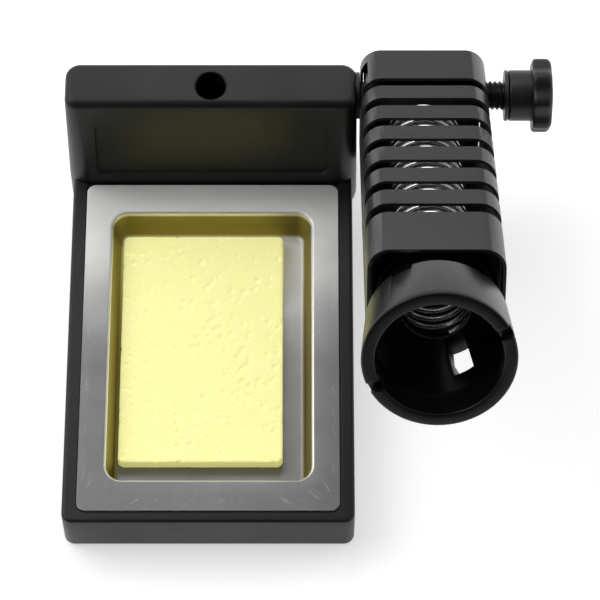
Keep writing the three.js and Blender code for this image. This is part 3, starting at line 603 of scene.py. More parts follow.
# %% Put the base together
SOCKET_RADIUS, SOCKET_DEPTH = 4.1, 30.0
SOCKET_Y = rear_face(BLOCK_TOP) - 7.4
COLUMN_RADIUS, BOSS_RADIUS, BORE_RADIUS, SEAT_RADIUS = 6.3, 7.2, 5.2, 6.5
STUD_HOLE = 4.3
STUD_ROOM = 3.5  # clear depth behind the insert, where the stud ends up when it is screwed home
washer_low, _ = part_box("friction_washer")
insert_low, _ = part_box("threaded_insert")


def base_moulding():
    at_socket = BASE_AXES @ Matrix.Translation((0, SOCKET_Y, 0))
    socket_floor = BLOCK_TOP - SOCKET_DEPTH
    boss_start = insert_low.x / MM - 1
    seat_floor = washer_low.x / MM - 0.2
    base = combine(plate_body(), [block_body()], "UNION")
    combine(base, [cavity()], "DIFFERENCE")
    added = [
        round_bar(COLUMN_RADIUS, socket_floor - 2.2, BLOCK_TOP - 1.2, "column", at_socket),
        round_bar(BOSS_RADIUS, boss_start, seat_floor - 0.5, "boss", PIVOT_AXES),
    ]
    combine(base, added, "UNION")
    mouth = [(0, socket_floor), (SOCKET_RADIUS, socket_floor), (SOCKET_RADIUS, BLOCK_TOP - 0.35)]
    mouth += [(SOCKET_RADIUS + 0.8, BLOCK_TOP + 0.45), (0, BLOCK_TOP + 0.45)]
    cutters = [
        as_object(turned(mouth, 64), "socket", at_socket),
        round_bar(BORE_RADIUS, boss_start - STUD_ROOM, seat_floor + 0.1, "insert_bore", PIVOT_AXES),
        round_bar(SEAT_RADIUS, seat_floor, seat_floor + 6, "washer_seat", PIVOT_AXES),
        panel_cutter(),
        *tray_cutters(),
    ]
    combine(base, cutters, "DIFFERENCE")
    return soften_edges(base, 0.18, 2, 38)


finish_piece(base_moulding(), "base", "black_plastic", BLACK_PLASTIC, "base_housing")

# %% [markdown]
# ## The sponge tray
#
# The tray is pressed from one thin sheet, so it is modelled as a single surface first: rings from the
# outer edge, over the lip, down the leaning wall and round onto the floor. A Solidify modifier then
# gives it the sheet's thickness, which keeps the wall even all round, as pressing does.
# Each point also carries how far round and how far in it lies, as a UV map for the scratches.

# %% The tray's surface
SHEET = 0.6
TRAY_NEAR = (tray_low.y - housing_low.y) / MM
TRAY_FAR = (tray_high.y - housing_low.y) / MM
TRAY_TOP = tray_high.z / MM
BOWL_FLOOR = tray_low.z / MM + SHEET


def bowl_section():
    """(inset, level) points from the flat rim over the lip to the flat floor."""
    corners = [
        (-4.0, TRAY_TOP, 0),
        (SHEET, TRAY_TOP, 0.9),
        (SHEET + 2.0, BOWL_FLOOR, 1.6),
        (8.0, BOWL_FLOOR, 0),
    ]
    return rounded_path(corners, 7, closed=False)


RIM_FLAT, TRAY_CORNER = 4.0, 2.3


def flange_rings():
    """Rings from the tray's outer edge to the flat rim of the bowl."""
    outer = (TRAY_HALF, TRAY_NEAR, TRAY_FAR, TRAY_CORNER)
    inner = (BOWL_HALF + RIM_FLAT, BOWL_NEAR - RIM_FLAT, BOWL_FAR + RIM_FLAT, BOWL_CORNER + RIM_FLAT)
    rings = []
    for share in (0.0, 0.04, 0.35, 0.7):
        half, near, far, radius = (a + (b - a) * share for a, b in zip(outer, inner))
        rings.append(rounded_rect(half, near, far, radius, radius, TRAY_TOP, 10))
    return rings


def bowl_rings():
    rings = []
    for point in bowl_section():
        inset = point.x
        radius = max(BOWL_CORNER - inset, 1.6)
        half, near, far = BOWL_HALF - inset, BOWL_NEAR + inset, BOWL_FAR - inset
        rings.append(rounded_rect(half, near, far, radius, radius, point.y, 10))
    return rings


def paint_ring_uv(item, rings):
    """u runs round the tray and v across it, both in metres, for patterns that follow the edge."""
    layer = item.data.uv_layers.new(name="Around")
    count = len(rings[0])
    around = [0.0]
    for i in range(count):
        around.append(around[-1] + (rings[0][(i + 1) % count] - rings[0][i]).length * MM)
    for polygon in item.data.polygons:
        columns = [v % count for v in polygon.vertices]
        wraps = max(columns) - min(columns) > count / 2
        for corner, vertex in zip(polygon.loop_indices, polygon.vertices):
            column, row = vertex % count, vertex // count
            u = around[count] if wraps and column == 0 else around[column]
            inward = (rings[row][column] - rings[0][column]).length * MM
            layer.data[corner].uv = (u, inward)


def sheet_tray():
    rings = flange_rings() + bowl_rings()
    tray = as_object(loft(rings, cap_start=False), "pressed_tray", BASE_AXES)
    paint_ring_uv(tray, rings)
    thick = tray.modifiers.new("sheet", "SOLIDIFY")
    thick.thickness = SHEET * MM
    thick.offset = -1
    settle(tray)
    return soften_edges(tray, 0.12, 2, 50)


tray_piece = sheet_tray()
up = [p.normal.z for p in tray_piece.data.polygons if p.area > 1e-5]
print("tray faces that look up:", sum(n > 0.9 for n in up), "down:", sum(n < -0.9 for n in up))


# %% [markdown]
# The tray's colour is built in layers. Fine lines and short scratches follow the edge of the bowl, so
# they read the UV map. The broad mottle, a painted sheen that makes the steel brighter towards the block, a
# painted yellow reflection of the sponge on the leaning wall and a painted highlight along the lip depend on
# the place in the tray, so they read its coordinates.


# %% The tray's finish
def band(tree, value, start, end, soft):
    """1 between start and end, falling to 0 over the soft width inside each of them."""
    rising = ramp(tree, value, start, start + soft)
    falling = ramp(tree, value, end - soft, end, 1.0, 0.0)
    return math_node(tree, "MULTIPLY", rising, falling)


def tray_steel():
    material, tree, shader, place = start_material("pressed tray steel")
    around = add_node(tree, "ShaderNodeUVMap", uv_map="Around").outputs["UV"]
    lines = use_group(tree, BRUSHED_LINES, {"Position": around, "Stretch": (2600, 160, 1)})
    strokes = use_group(tree, BRUSHED_LINES, {"Position": around, "Stretch": (1500, 25, 1)})
    grain = use_group(tree, FINE_GRAIN, {"Position": place, "Scale": 900, "Patch Scale": 70})
    axes = add_node(tree, "ShaderNodeSeparateXYZ", {0: place}).outputs
    inward = add_node(tree, "ShaderNodeSeparateXYZ", {0: around}).outputs["Y"]
    # Painted sheen: the steel's colour turns much brighter towards the block, and it is also rougher there.
    painted_sheen_to_block = ramp(tree, axes["Y"], tray_low.y + 0.045, tray_high.y)
    # Painted reflection: the leaning wall is coloured yellow, as if it reflected the sponge.
    painted_sponge_reflection = band(tree, axes["Z"], BOWL_FLOOR * MM, (TRAY_TOP - 1.0) * MM, 0.8 * MM)
    # Painted highlight: a bright band of colour along the curve of the lip.
    lip = band(tree, axes["Z"], (TRAY_TOP - 0.9) * MM, (TRAY_TOP - 0.03) * MM, 0.1 * MM)
    near_lip = band(tree, inward, 4.2 * MM, 9.4 * MM, 1.4 * MM)
    scratches = math_node(tree, "MULTIPLY", ramp(tree, strokes["Height"], 0.55, 0.7, 0.0, 0.45), near_lip)
    colour = blend(tree, lines["Streaks"], grey(0.16), grey(0.31))
    # Over the streaked steel go a painted sheen, a painted sponge reflection, the real scratches and a
    # painted lip highlight.
    layers = [
        (painted_sheen_to_block, (0.92, 0.92, 0.9, 1)),
        (painted_sponge_reflection, (0.34, 0.28, 0.09, 1)),
        (scratches, grey(0.8)),
        (lip, grey(0.95)),
    ]
    for mask, over in layers:
        colour = blend(tree, mask, colour, over)
    cloudy = between(tree, grain["Patches"], 0.36, 0.5)
    fine = bump(tree, lines["Height"], 0.02, 0.5)
    look = {
        "Base Color": colour,
        "Roughness": math_node(tree, "MULTIPLY_ADD", painted_sheen_to_block, 0.2, cloudy),
        "Normal": bump(tree, grain["Patches"], 0.12, 0.4, Normal=fine),
        "Metallic": 1.0,
    }
    feed(tree, shader, look)
    return material


finish_piece(tray_piece, "tray", "tray_steel", tray_steel(), "sponge_tray", sharp=50)

# %% [markdown]
# ## The sponge
#
# A cellulose sponge is a block full of bubbles: its skin is smooth in places and open in others, and
# its cut edges are ragged. Cloth simulation suits stuffed fabric, but a sponge keeps its block shape,
# so this one is a rounded block with an even fine mesh, and Geometry Nodes push its points in where
# Voronoi cells make bubbles. The pores smaller than a tenth of a millimetre are left to the material.

# %% The sponge's block
sponge_low, sponge_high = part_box("sponge")


def sponge_block():
    near = (sponge_low.y - housing_low.y) / MM + 0.1
    far = (sponge_high.y - housing_low.y) / MM - 0.1
    half = (sponge_high.x - sponge_low.x) / MM / 2 - 0.1
    bottom, top = sponge_low.z / MM, sponge_high.z / MM - 0.1
    rings = []
    for level, inset in edge_levels(bottom, top, 0.35, 0.5):
        corner = 1.4 - inset
        rings.append(rounded_rect(half - inset, near + inset, far - inset, corner, corner, level, 5))
    middle = (sponge_low.x + sponge_high.x) / 2
    axes = Matrix.Translation((middle - base_middle, 0, 0)) @ BASE_AXES
    block = as_object(loft(rings), "cleaning_sponge", axes)
    even = block.modifiers.new("even mesh", "REMESH")
    even.mode = "VOXEL"
    even.voxel_size = 0.4 * MM
    return settle(block)


# %% Bubbles as a geometry tree
def geometry_tree(name, inputs):
    """A new tree with a geometry input and output and named sizes."""
    tree = bpy.data.node_groups.new(name, "GeometryNodeTree")
    tree.interface.new_socket("Geometry", in_out="INPUT", socket_type="NodeSocketGeometry")
    for label, value in inputs.items():
        kind = "NodeSocketInt" if isinstance(value, int) else "NodeSocketFloat"
        if isinstance(value, bpy.types.Material):
            kind = "NodeSocketMaterial"
        tree.interface.new_socket(label, in_out="INPUT", socket_type=kind).default_value = value
    tree.interface.new_socket("Geometry", in_out="OUTPUT", socket_type="NodeSocketGeometry")
    return tree, tree.nodes.new("NodeGroupInput").outputs, tree.nodes.new("NodeGroupOutput")


def close_tree(tree, geometry, given, result):
    """Every tree ends the same way: instances made real, then the material."""
    real = add_node(tree, "GeometryNodeRealizeInstances", {"Geometry": geometry}).outputs[0]
    values = {"Geometry": real, "Material": given["Material"]}
    painted = add_node(tree, "GeometryNodeSetMaterial", values).outputs[0]
    feed(tree, result, {"Geometry": painted})
    return tree


def grow(item, tree, values):
    """Runs a tree on an object with its own values, and keeps the result as a plain mesh."""
    modifier = item.modifiers.new(tree.name, "NODES")
    modifier.node_group = tree
    for socket in tree.interface.items_tree:
        if socket.in_out == "INPUT" and socket.name in values:
            modifier[socket.identifier] = values[socket.name]
    settle(item)
    print(item.name, "grown to", len(item.data.polygons), "faces by", tree.name)
    return item


def bubbles_tree(material):
    inputs = {"Bubble Scale": 420.0, "Bubble Depth": 0.6 * MM, "Swell": 0.22 * MM, "Seed": 3.0}
    inputs["Material"] = material
    tree, given, result = geometry_tree("Sponge bubbles", inputs)
    place = tree.nodes.new("GeometryNodeInputPosition").outputs[0]
    normal = tree.nodes.new("GeometryNodeInputNormal").outputs[0]
    values = {"Vector": place, "Scale": 260.0, "Detail": 2.0, "W": given["Seed"]}
    wobble = add_node(tree, "ShaderNodeTexNoise", values, noise_dimensions="4D").outputs["Color"]
    shifted = vector_node(tree, "SCALE", {0: wobble, "Scale": 2.4 * MM})
    bent = vector_node(tree, "ADD", {0: place, 1: shifted})
    cells = add_node(tree, "ShaderNodeTexVoronoi", {"Vector": bent, "Scale": given["Bubble Scale"]})
    hollow = ramp(tree, cells.outputs["Distance"], 0.08, 0.42, 1.0, 0.0)
    share = ramp(tree, noise(tree, place, 95.0, 3.0), 0.4, 0.62, shape="LINEAR")
    depth = math_node(tree, "MULTIPLY", hollow, share)
    inward = math_node(tree, "MULTIPLY", depth, given["Bubble Depth"])
    centred = math_node(tree, "SUBTRACT", noise(tree, place, 120.0, 4.0), 0.62)
    outward = math_node(tree, "MULTIPLY", centred, given["Swell"])
    push = math_node(tree, "SUBTRACT", outward, inward)
    offset = vector_node(tree, "SCALE", {0: normal, "Scale": push})
    moved = add_node(tree, "GeometryNodeSetPosition", {"Geometry": given["Geometry"], "Offset": offset})
    return close_tree(tree, moved.outputs[0], given, result)


# %% [markdown]
# The sponge glows a little. The emission is painted light, which makes the sponge brighter and paler than
# the lamps make it. Real cellulose passes light through its thin walls, and a small subsurface part stands
# for that.


# %% The sponge's finish
def sponge_finish():
    material, tree, shader, place = start_material("cellulose sponge")
    cells = add_node(tree, "ShaderNodeTexVoronoi", {"Vector": place, "Scale": 1100.0})
    cloud = noise(tree, place, 110.0, 6.0)
    pores = ramp(tree, cells.outputs["Distance"], 0.05, 0.45, shape="LINEAR")
    look = {
        "Base Color": blend(tree, cloud, (0.97, 0.93, 0.36, 1), (1.0, 0.98, 0.5, 1)),
        "Normal": bump(tree, pores, 0.15, 0.6),
        "Roughness": between(tree, cloud, 0.85, 1.0),
        # Painted light: the emission brightens the sponge, as no lamp is inside it.
        "Emission Color": (1, 0.98, 0.4, 1),
        "Emission Strength": 0.38,
        "Subsurface Weight": 0.15,
        "Subsurface Radius": (0.004, 0.003, 0.001),
        "Subsurface Scale": 0.5,
    }
    feed(tree, shader, look)
    return material


SPONGE = sponge_finish()
sponge_piece = grow(sponge_block(), bubbles_tree(SPONGE), {"Seed": 3.0})
finish_piece(sponge_piece, "cleaning_sponge", "cellulose_sponge", SPONGE, "sponge", sharp=80)

# %% [markdown]
# ## The holder's tube
#
# The tube is one folded sheet: a rounded square section whose two edges nearly meet under it, which
# leaves an open seam. Drawing the section as a C of even thickness and sweeping it straight keeps
# that seam real. The cross slots, the hanging slot and the bolt hole are then cut through it.

# %% The tube's section
TUBE_SHEET = 0.8
TUBE_HALF = (cage_high.x - cage_low.x) / MM / 2
TUBE_CORNER = 5.6
PIVOT_FROM_BACK, PIVOT_BELOW_TOP = 8.4, 9.4
TUBE_LENGTH = 106.0
TUBE_FRONT = TUBE_LENGTH - PIVOT_FROM_BACK
TUBE_AXIS = PIVOT_BELOW_TOP - TUBE_HALF
SEAM_HALF, SEAM_MIDDLE = 0.4, TUBE_HALF - TUBE_CORNER - 0.4
AIR_GAP_LENGTH = 8.6


def square_path(half, radius):
    """An open path round the rounded square that starts and ends at the seam underneath."""
    corners = [
        (SEAM_MIDDLE - SEAM_HALF, TUBE_AXIS - half, 0),
        (-half, TUBE_AXIS - half, radius),
        (-half, TUBE_AXIS + half, radius),
        (half, TUBE_AXIS + half, radius),
        (half, TUBE_AXIS - half, radius),
        (SEAM_MIDDLE + SEAM_HALF, TUBE_AXIS - half, 0),
    ]
    return rounded_path(corners, 12, closed=False)


def folded_tube():
    outer = square_path(TUBE_HALF, TUBE_CORNER)
    inner = square_path(TUBE_HALF - TUBE_SHEET, TUBE_CORNER - TUBE_SHEET)
    shape = bmesh.new()
    ends = []
    for along in (-PIVOT_FROM_BACK, TUBE_FRONT):
        ends.append([[shape.verts.new((p.x, p.y, along)) for p in path] for path in (outer, inner)])
    (outer_a, inner_a), (outer_b, inner_b) = ends
    for i in range(len(outer) - 1):
        j = i + 1
        shape.faces.new((outer_a[i], outer_a[j], outer_b[j], outer_b[i]))
        shape.faces.new((inner_a[j], inner_a[i], inner_b[i], inner_b[j]))
        shape.faces.new((outer_a[j], outer_a[i], inner_a[i], inner_a[j]))
        shape.faces.new((outer_b[i], outer_b[j], inner_b[j], inner_b[i]))
    for i in (0, -1):
        shape.faces.new((outer_a[i], outer_b[i], inner_b[i], inner_a[i]))
    bmesh.ops.recalc_face_normals(shape, faces=shape.faces)
    return as_object(shape, "slotted_tube", HOLDER_AXES)


# %% Slots and holes in the tube
SLOT_COUNT, SLOT_PITCH, SLOT_WIDTH, SLOT_START, SLOT_DROP = 7, 11.2, 4.2, 16.4, 12.0


def slot_bar(middle, half_width, bottom, top, near, far, name):
    """A bar across the tube, round below and flat above, drawn along the tube and up it."""
    outline = [(middle + half_width, top), (middle - half_width, top)]
    for k in range(13):
        angle = math.pi * (1 + k / 12)
        outline.append((middle + half_width * math.cos(angle), bottom + half_width * (1 + math.sin(angle))))
    rings = [[Vector((x, height, along)) for along, height in outline] for x in (near, far)]
    return as_object(loft(rings), name, HOLDER_AXES)


def bar(width, depth, height, matrix, name):
    shape = bmesh.new()
    bmesh.ops.create_cube(shape, size=1, matrix=matrix @ Matrix.Diagonal((width, depth, height, 1)))
    return as_object(shape, name, HOLDER_AXES)


def slotted_tube():
    air_gap = Matrix.Translation((0, TUBE_AXIS - TUBE_HALF, TUBE_FRONT))
    cutters = [bar(2 * (TUBE_HALF - TUBE_CORNER), 3, 2 * AIR_GAP_LENGTH, air_gap, "air_gap")]
    for i in range(SLOT_COUNT):
        middle = SLOT_START - PIVOT_FROM_BACK + SLOT_WIDTH / 2 + i * SLOT_PITCH
        reach = TUBE_HALF + 1
        bottom, top = PIVOT_BELOW_TOP - SLOT_DROP, PIVOT_BELOW_TOP + 1
        cutters.append(slot_bar(middle, SLOT_WIDTH / 2, bottom, top, -reach, reach, "slot"))
    hang_top = PIVOT_BELOW_TOP - 1.4
    inside_wall = TUBE_CORNER - TUBE_HALF
    cutters.append(slot_bar(0, STUD_HOLE, -STUD_HOLE, hang_top, -TUBE_HALF - 1, inside_wall, "hang_slot"))
    bolt_axes = HOLDER_AXES @ Matrix.Rotation(math.pi / 2, 4, "Y")
    cutters.append(round_bar(STUD_HOLE, 0, TUBE_HALF + 1, "bolt_hole", bolt_axes))
    tube = combine(folded_tube(), cutters, "DIFFERENCE")
    return soften_edges(tube, 0.14, 2, 50)


finish_piece(slotted_tube(), "holder", "black_paint", BLACK_PAINT, "holder_cage")

# %% [markdown]
# ## The funnel
#
# The funnel is turned from one profile, because it is round everywhere but for four cuts. The profile
# has an arc on every corner, which is what catches the light in satin bakelite. Two notches across
# the rim and two windows in the cone are cut out with plain bars.

# %% The funnel's profile
RIM = TUBE_FRONT + 23.4
RING_REAR = RIM - 18.0
PLATE_INSET = 9.6
FLANGE_REAR = TUBE_FRONT - PLATE_INSET + 1.0 + 0.2
FLANGE_FRONT = FLANGE_REAR + 3.2
THROAT, THROAT_LAND, POCKET = 8.8, 1.2, 10.5
THROAT_FRONT = RIM - 9.0 - 14.6
NOTCH_ANGLE = math.radians(25.7)
WINDOW_ANGLE = math.radians(120.7)
WINDOW_REACH, WINDOW_WIDTH, WINDOW_LENGTH, WINDOW_SETBACK = 15.9, 5.4, 10.3, 13.1


def funnel_profile():
    corners = [
        (POCKET, FLANGE_REAR - 5.0, 0.2),
        (11.6, FLANGE_REAR - 5.0, 0.2),
        (11.6, FLANGE_REAR, 0),
        (15.4, FLANGE_REAR, 0.4),
        (15.4, FLANGE_FRONT, 0.5),
        (14.0, FLANGE_FRONT, 0.3),
        (14.0, RING_REAR, 0.4),
        (17.4, RING_REAR, 0.8),
        (18.7, RIM - 2.0, 0.3),
        (18.8, RIM, 0.7),
        (15.4, RIM, 0.6),
        (15.1, RIM - 9.0, 1.2),
        (THROAT, THROAT_FRONT, 0.6),
        (THROAT, THROAT_FRONT - THROAT_LAND, 0.1),
        (POCKET, THROAT_FRONT - THROAT_LAND, 0.1),
    ]
    return [tuple(p) for p in rounded_path(corners, 5)]


def funnel_piece():
    def on_axis(angle, along):
        return Matrix.Translation((0, TUBE_AXIS, along)) @ Matrix.Rotation(angle, 4, "Z")

    window_middle = RIM - WINDOW_SETBACK - WINDOW_LENGTH / 2
    funnel = as_object(turned(funnel_profile(), 128), "funnel_mouth", HOLDER_AXES @ on_axis(0, 0))
    cutters = [
        bar(40, 3.0, 4.0, on_axis(NOTCH_ANGLE, RIM), "notch"),
        bar(2 * WINDOW_REACH, WINDOW_WIDTH, WINDOW_LENGTH, on_axis(WINDOW_ANGLE, window_middle), "windows"),
        bar(40, WINDOW_WIDTH, 4.8, on_axis(WINDOW_ANGLE, RING_REAR), "rear_notches"),
    ]
    combine(funnel, cutters, "DIFFERENCE")
    return soften_edges(funnel, 0.25, 2, 45)


finish_piece(funnel_piece(), "holder", "black_bakelite", BAKELITE, "funnel", sharp=40)

# %% [markdown]
# ## The spring
#
# A spring is a round wire that follows a spiral, which is exactly what a Geometry Nodes tree does
# well: a Spiral curve gives the route, and Curve to Mesh sweeps a small circle along it. The number of
# turns follows from the length and the pitch, so changing either keeps the wire right.


# %% The spring's tree
def spring_tree():
    inputs = {
        "Coil Radius": 9.35 * MM,
        "Wire Radius": 0.85 * MM,
        "Length": 76.0 * MM,
        "Pitch": 3.8 * MM,
        "Steps": 40,
        "Material": SPRING_STEEL,
    }
    tree, given, result = geometry_tree("Coil spring", inputs)
    turns = math_node(tree, "DIVIDE", given["Length"], given["Pitch"])
    values = {
        "Resolution": given["Steps"], "Rotations": turns, "Start Radius": given["Coil Radius"],
        "End Radius": given["Coil Radius"], "Height": given["Length"],
    }
    spiral = add_node(tree, "GeometryNodeCurveSpiral", values).outputs[0]
    values = {"Radius": given["Wire Radius"], "Resolution": 12}
    wire = add_node(tree, "GeometryNodeCurvePrimitiveCircle", values).outputs[0]
    values = {"Curve": spiral, "Profile Curve": wire, "Fill Caps": True}
    swept = add_node(tree, "GeometryNodeCurveToMesh", values)
    return close_tree(tree, swept.outputs[0], given, result)


# %% Grow the spring and place it
def empty_piece(name):
    item = bpy.data.objects.new(name, bpy.data.meshes.new(name))
    bpy.context.scene.collection.objects.link(item)
    return item


SPRING_BACK, SPRING_GAP, SPRING_WIRE = 14.6 - PIVOT_FROM_BACK, 0.2, 1.7
SPRING_LENGTH = THROAT_FRONT - THROAT_LAND - SPRING_GAP - SPRING_BACK - SPRING_WIRE
spring_piece = grow(empty_piece("guide_spring"), spring_tree(), {"Length": SPRING_LENGTH * MM})
spring_start = Matrix.Translation((0, TUBE_AXIS, SPRING_BACK + SPRING_WIRE / 2))
spring_place = spring_start @ Matrix.Scale(1 / MM, 4)
spring_piece.data.transform(HOLDER_AXES @ spring_place)
finish_piece(spring_piece, "holder", "spring_steel", SPRING_STEEL, "spring", sharp=60)

# %% [markdown]
# ## The clamp knob
#
# The knob's head has eight soft lobes, so its outline is a circle with a cosine on top, and its rings
# shrink towards both faces along an arc. The collar is turned from a profile and joined to it.

# %% The knob
head_low, head_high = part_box("knob_head")
KNOB_LOBES, LOBE_DEPTH, KNOB_RADIUS = 8, 1.1, (head_high.z - head_low.z) / MM / 2
COLLAR_NEAR = head_low.x / MM
HEAD_FAR = head_high.x / MM
HEAD_NEAR = HEAD_FAR - 5.8


def lobed_ring(shrink, along, steps=128):
    ring = []
    for k in range(steps):
        angle = 2 * math.pi * k / steps
        wave = (math.cos(KNOB_LOBES * angle) - 1) / 2
        radius = KNOB_RADIUS - shrink + LOBE_DEPTH * wave * max(0.0, 1 - shrink / 3)
        ring.append(Vector((radius * math.cos(angle), radius * math.sin(angle), along)))
    return ring


COLLAR_RADIUS, KNOB_BORE, KNOB_BORE_DEPTH = 6.85, 4.2, 10.2


def knob_piece():
    rings = [lobed_ring(1 - up, HEAD_NEAR + (1 - across)) for up, across in quarter_turn(6)]
    rings += [lobed_ring(1.8 * (1 - across), HEAD_FAR - 2.2 + 1.6 * up) for up, across in quarter_turn(8)]
    for share in (0.75, 0.5, 0.25, 0.08):
        level = HEAD_FAR - 0.6 * share**2
        rings.append([Vector((p.x * share, p.y * share, level)) for p in lobed_ring(3.0, 0)])
    head = as_object(loft(rings), "knob", PIVOT_AXES)
    corners = [(0, COLLAR_NEAR, 0), (COLLAR_RADIUS, COLLAR_NEAR, 0.5), (COLLAR_RADIUS, HEAD_NEAR, 0)]
    corners += [(COLLAR_RADIUS, HEAD_NEAR + 1, 0), (0, HEAD_NEAR + 1, 0)]
    profile = [tuple(p) for p in rounded_path(corners, 5, closed=False)]
    collar = as_object(turned(profile, 96), "collar", PIVOT_AXES)
    bore = round_bar(KNOB_BORE, COLLAR_NEAR - 1, COLLAR_NEAR + KNOB_BORE_DEPTH, "bore", PIVOT_AXES)
    knob = combine(head, [collar], "UNION")
    return combine(knob, [bore], "DIFFERENCE")


finish_piece(knob_piece(), "clamp_knob", "knob_plastic", KNOB_PLASTIC, "knob_head", sharp=50)

# %% [markdown]
# ## The threaded stud
#
# A screw thread is a rule: the radius at each point depends on how far along the point is and how far
# round. The tree starts from a fine cylinder and moves every point in or out by a triangle wave of
# that sum, with 1.25 mm from crest to crest, so it is a true helix and not a row of rings.

# %% The thread's tree
stud_low, stud_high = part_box("knob_stud")
STUD_LENGTH = stud_high.x - stud_low.x


def thread_tree():
    inputs = {
        "Radius": 4.0 * MM,
        "Depth": 0.7 * MM,
        "Pitch": 1.25 * MM,
        "Length": STUD_LENGTH,
        "Rows": int(STUD_LENGTH / (1.25 * MM) * 8),
        "Material": BLACK_OXIDE,
    }
    tree, given, result = geometry_tree("Screw thread", inputs)
    radius, depth, length = given["Radius"], given["Depth"], given["Length"]
    values = {"Side Segments": given["Rows"], "Radius": radius, "Depth": length, "Vertices": 40}
    rod = add_node(tree, "GeometryNodeMeshCylinder", values).outputs["Mesh"]
    position = tree.nodes.new("GeometryNodeInputPosition").outputs[0]
    x, y, z = add_node(tree, "ShaderNodeSeparateXYZ", {0: position}).outputs
    round_share = math_node(tree, "DIVIDE", math_node(tree, "ARCTAN2", y, x), 2 * math.pi)
    turn = math_node(tree, "SUBTRACT", math_node(tree, "DIVIDE", z, given["Pitch"]), round_share)
    wave = math_node(tree, "PINGPONG", turn, 0.5)
    groove = math_node(tree, "MULTIPLY", wave, math_node(tree, "MULTIPLY", depth, 2.0))
    half_length = math_node(tree, "MULTIPLY", length, 0.5)
    to_end = math_node(tree, "SUBTRACT", half_length, math_node(tree, "ABSOLUTE", z))
    taper = math_node(tree, "MAXIMUM", math_node(tree, "SUBTRACT", depth, to_end), 0.0)
    sink = math_node(tree, "MAXIMUM", groove, taper)
    share = math_node(tree, "DIVIDE", math_node(tree, "SUBTRACT", radius, sink), radius)
    values = {"X": math_node(tree, "MULTIPLY", x, share), "Y": math_node(tree, "MULTIPLY", y, share), "Z": z}
    place = add_node(tree, "ShaderNodeCombineXYZ", values).outputs[0]
    moved = add_node(tree, "GeometryNodeSetPosition", {"Geometry": rod, "Position": place})
    return close_tree(tree, moved.outputs[0], given, result)


stud_piece = grow(empty_piece("threaded_stud"), thread_tree(), {"Length": STUD_LENGTH})
stud_middle = (stud_low + stud_high) / 2
stud_piece.data.transform(Matrix.Translation(stud_middle) @ Matrix.Rotation(math.pi / 2, 4, "Y"))
finish_piece(stud_piece, "clamp_knob", "black_oxide_steel", BLACK_OXIDE, "knob_stud", sharp=30)

# %% [markdown]
# ## Washers and sleeve
#
# Three turned rings complete the clamp. Each reads its length and its outer radius from its CAD node,
# so only the size of the edge arcs is chosen here.


# %% Turned rings
def ring_like(node, name, inner, edge, body, slot, material):
    low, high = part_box(node)
    near, far = low.x / MM, high.x / MM
    outer = (high.z - low.z) / MM / 2
    corners = [(inner, near, edge), (outer, near, edge), (outer, far, edge), (inner, far, edge)]
    profile = [tuple(p) for p in rounded_path(corners, 4)]
    ring = as_object(turned(profile, 96), name, PIVOT_AXES)
    return finish_piece(ring, body, slot, material, node)


ring_like("clamp_washer", "collar_washer", STUD_HOLE, 0.2, "washer", "black_oxide_steel", BLACK_OXIDE)
ring_like("friction_washer", "side_washer", STUD_HOLE, 0.2, "base", "washer_nylon", NYLON)
ring_like("pivot_sleeve", "tube_sleeve", STUD_HOLE, 0.3, "holder", "black_oxide_steel", BLACK_OXIDE)

# %% [markdown]
# ## Screws
#
# Six small screws hold the cover and the funnel. One tree makes a domed head with a cross recess and
# a shank, and puts a copy on every point of the object that it runs on. Each body has its own object of
# points, because the copies have to move with their own body.


# %% The screw tree
def screw_tree():
    inputs = {
        "Head Radius": 2.6 * MM,
        "Head Height": 1.0 * MM,
        "Shank Radius": 1.35 * MM,
        "Length": 8.0 * MM,
        "Material": ZINC_STEEL,
    }
    tree, given, result = geometry_tree("Cross head screw", inputs)
    radius, height = given["Head Radius"], given["Head Height"]
    lip, long_side, short_side = (math_node(tree, "MULTIPLY", radius, share) for share in (0.82, 1.1, 0.26))
    values = {"Radius Top": lip, "Radius Bottom": radius, "Depth": height, "Vertices": 32}
    head = add_node(tree, "GeometryNodeMeshCone", values).outputs["Mesh"]
    cut = add_node(tree, "GeometryNodeMeshBoolean", {"Mesh 1": head}, operation="DIFFERENCE")
    lift = add_node(tree, "ShaderNodeCombineXYZ", {"Z": height}).outputs[0]
    for x, y in ((long_side, short_side), (short_side, long_side)):
        size = add_node(tree, "ShaderNodeCombineXYZ", {"X": x, "Y": y, "Z": height}).outputs[0]
        block = add_node(tree, "GeometryNodeMeshCube", {"Size": size}).outputs["Mesh"]
        placed = add_node(tree, "GeometryNodeTransform", {"Geometry": block, "Translation": lift})
        tree.links.new(placed.outputs[0], cut.inputs["Mesh 2"])
    values = {"Radius": given["Shank Radius"], "Depth": given["Length"], "Vertices": 20}
    shank = add_node(tree, "GeometryNodeMeshCylinder", values).outputs["Mesh"]
    drop = add_node(tree, "ShaderNodeCombineXYZ", {"Z": math_node(tree, "MULTIPLY", given["Length"], -0.5)})
    values = {"Geometry": shank, "Translation": drop.outputs[0]}
    lowered = add_node(tree, "GeometryNodeTransform", values).outputs[0]
    whole = tree.nodes.new("GeometryNodeJoinGeometry")
    tree.links.new(cut.outputs["Mesh"], whole.inputs[0])
    tree.links.new(lowered, whole.inputs[0])
    values = {"Points": given["Geometry"], "Instance": whole.outputs[0]}
    copies = add_node(tree, "GeometryNodeInstanceOnPoints", values)
    return close_tree(tree, copies.outputs[0], given, result)


# %% Copies under the cover and behind the funnel
SCREW_TREE = screw_tree()


def screws_at(name, points, values, axes, body, nodes):
    item = empty_piece(name)
    item.data.from_pydata(points, [], [])
    grow(item, SCREW_TREE, values)
    item.data.transform(axes)
    return finish_piece(item, body, "screw_steel", ZINC_STEEL, *nodes, sharp=30)


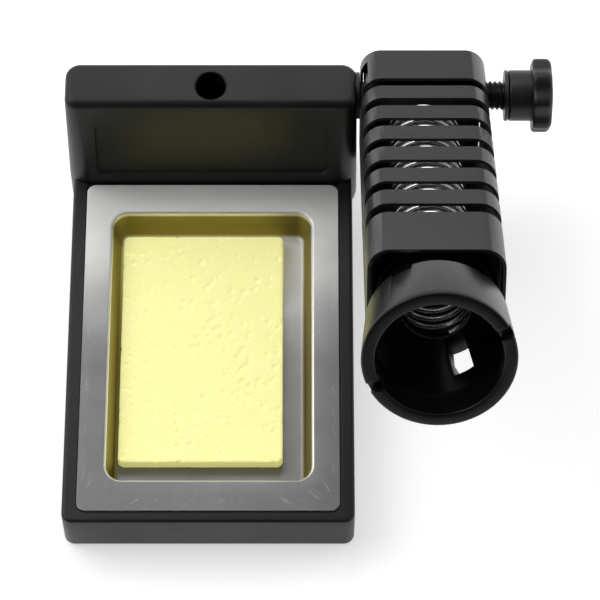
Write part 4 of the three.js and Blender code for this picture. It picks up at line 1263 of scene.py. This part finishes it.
upside_down = Matrix.Rotation(math.pi, 4, "X")
cover_nodes = [f"cover_screw_{end}_{side}" for end in ("front", "rear") for side in ("left", "right")]
cover_points = []
for node in cover_nodes:
    low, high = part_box(node)
    spot = upside_down.inverted() @ Vector(((low.x + high.x) / 2, (low.y + high.y) / 2, low.z + 1.0 * MM))
    cover_points.append(spot)
screws_at("cover_screws", cover_points, {}, upside_down, "base", cover_nodes)

funnel_axes = HOLDER_AXES @ Matrix.Scale(1 / MM, 4) @ upside_down
head_level = (TUBE_FRONT - PLATE_INSET - 0.2) * MM
funnel_points = [Vector((side * 13.7 * MM, -TUBE_AXIS * MM, -head_level)) for side in (-1, 1)]
funnel_values = {"Head Radius": 1.8 * MM, "Head Height": 1.2 * MM, "Shank Radius": 1.05 * MM}
funnel_values["Length"] = 3.8 * MM
funnel_nodes = ["funnel_screw_left", "funnel_screw_right"]
screws_at("funnel_screws", funnel_points, funnel_values, funnel_axes, "holder", funnel_nodes)

# %% [markdown]
# ## Pieces that keep their CAD shape
#
# Flat plates, the feet and the hidden insert are already right in CAD. They only need real finishes in
# place of the plain ones.

# %% Finishes for the CAD pieces
kept = {
    "bottom_cover": BLACK_PLASTIC,
    "ballast_plate": PLAIN_STEEL,
    "threaded_insert": BRASS,
    "rear_plate": BLACK_PAINT,
    "front_plate": BLACK_PAINT,
}
kept.update({f"foot_{end}_{side}": RUBBER for end in ("front", "rear") for side in ("left", "right")})
for node, material in kept.items():
    mesh = frame["nodes"][node].data
    mesh.materials.clear()
    mesh.materials.append(material)
print("CAD pieces kept:", sorted(kept))

# %% [markdown]
# ## Floor
#
# The stand sits on a plain pale surface that is large enough to reach past every view. It glows
# slightly, which is a choice of look: it stays almost white and keeps only the faintest shadow.


# %% Floor
def pale_floor():
    shape = bmesh.new()
    bmesh.ops.create_grid(shape, x_segments=1, y_segments=1, size=3000)
    floor = as_object(shape, "floor", Matrix.Scale(MM, 4))
    material, tree, shader, place = start_material("pale floor")
    look = {
        "Base Color": blend(tree, noise(tree, place, 2.0), grey(0.9), grey(0.92)),
        "Roughness": 0.9,
        "Emission Color": WHITE,
        "Emission Strength": 0.52,
    }
    feed(tree, shader, look)
    floor.data.materials.append(material)
    floor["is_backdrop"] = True


pale_floor()

# %% [markdown]
# ## The finished size
#
# The last cell prints the size of the finished model's box.

# %% Sizes and the last call
low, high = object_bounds()
print("visual box in metres:", tuple(round(v, 4) for v in high - low))
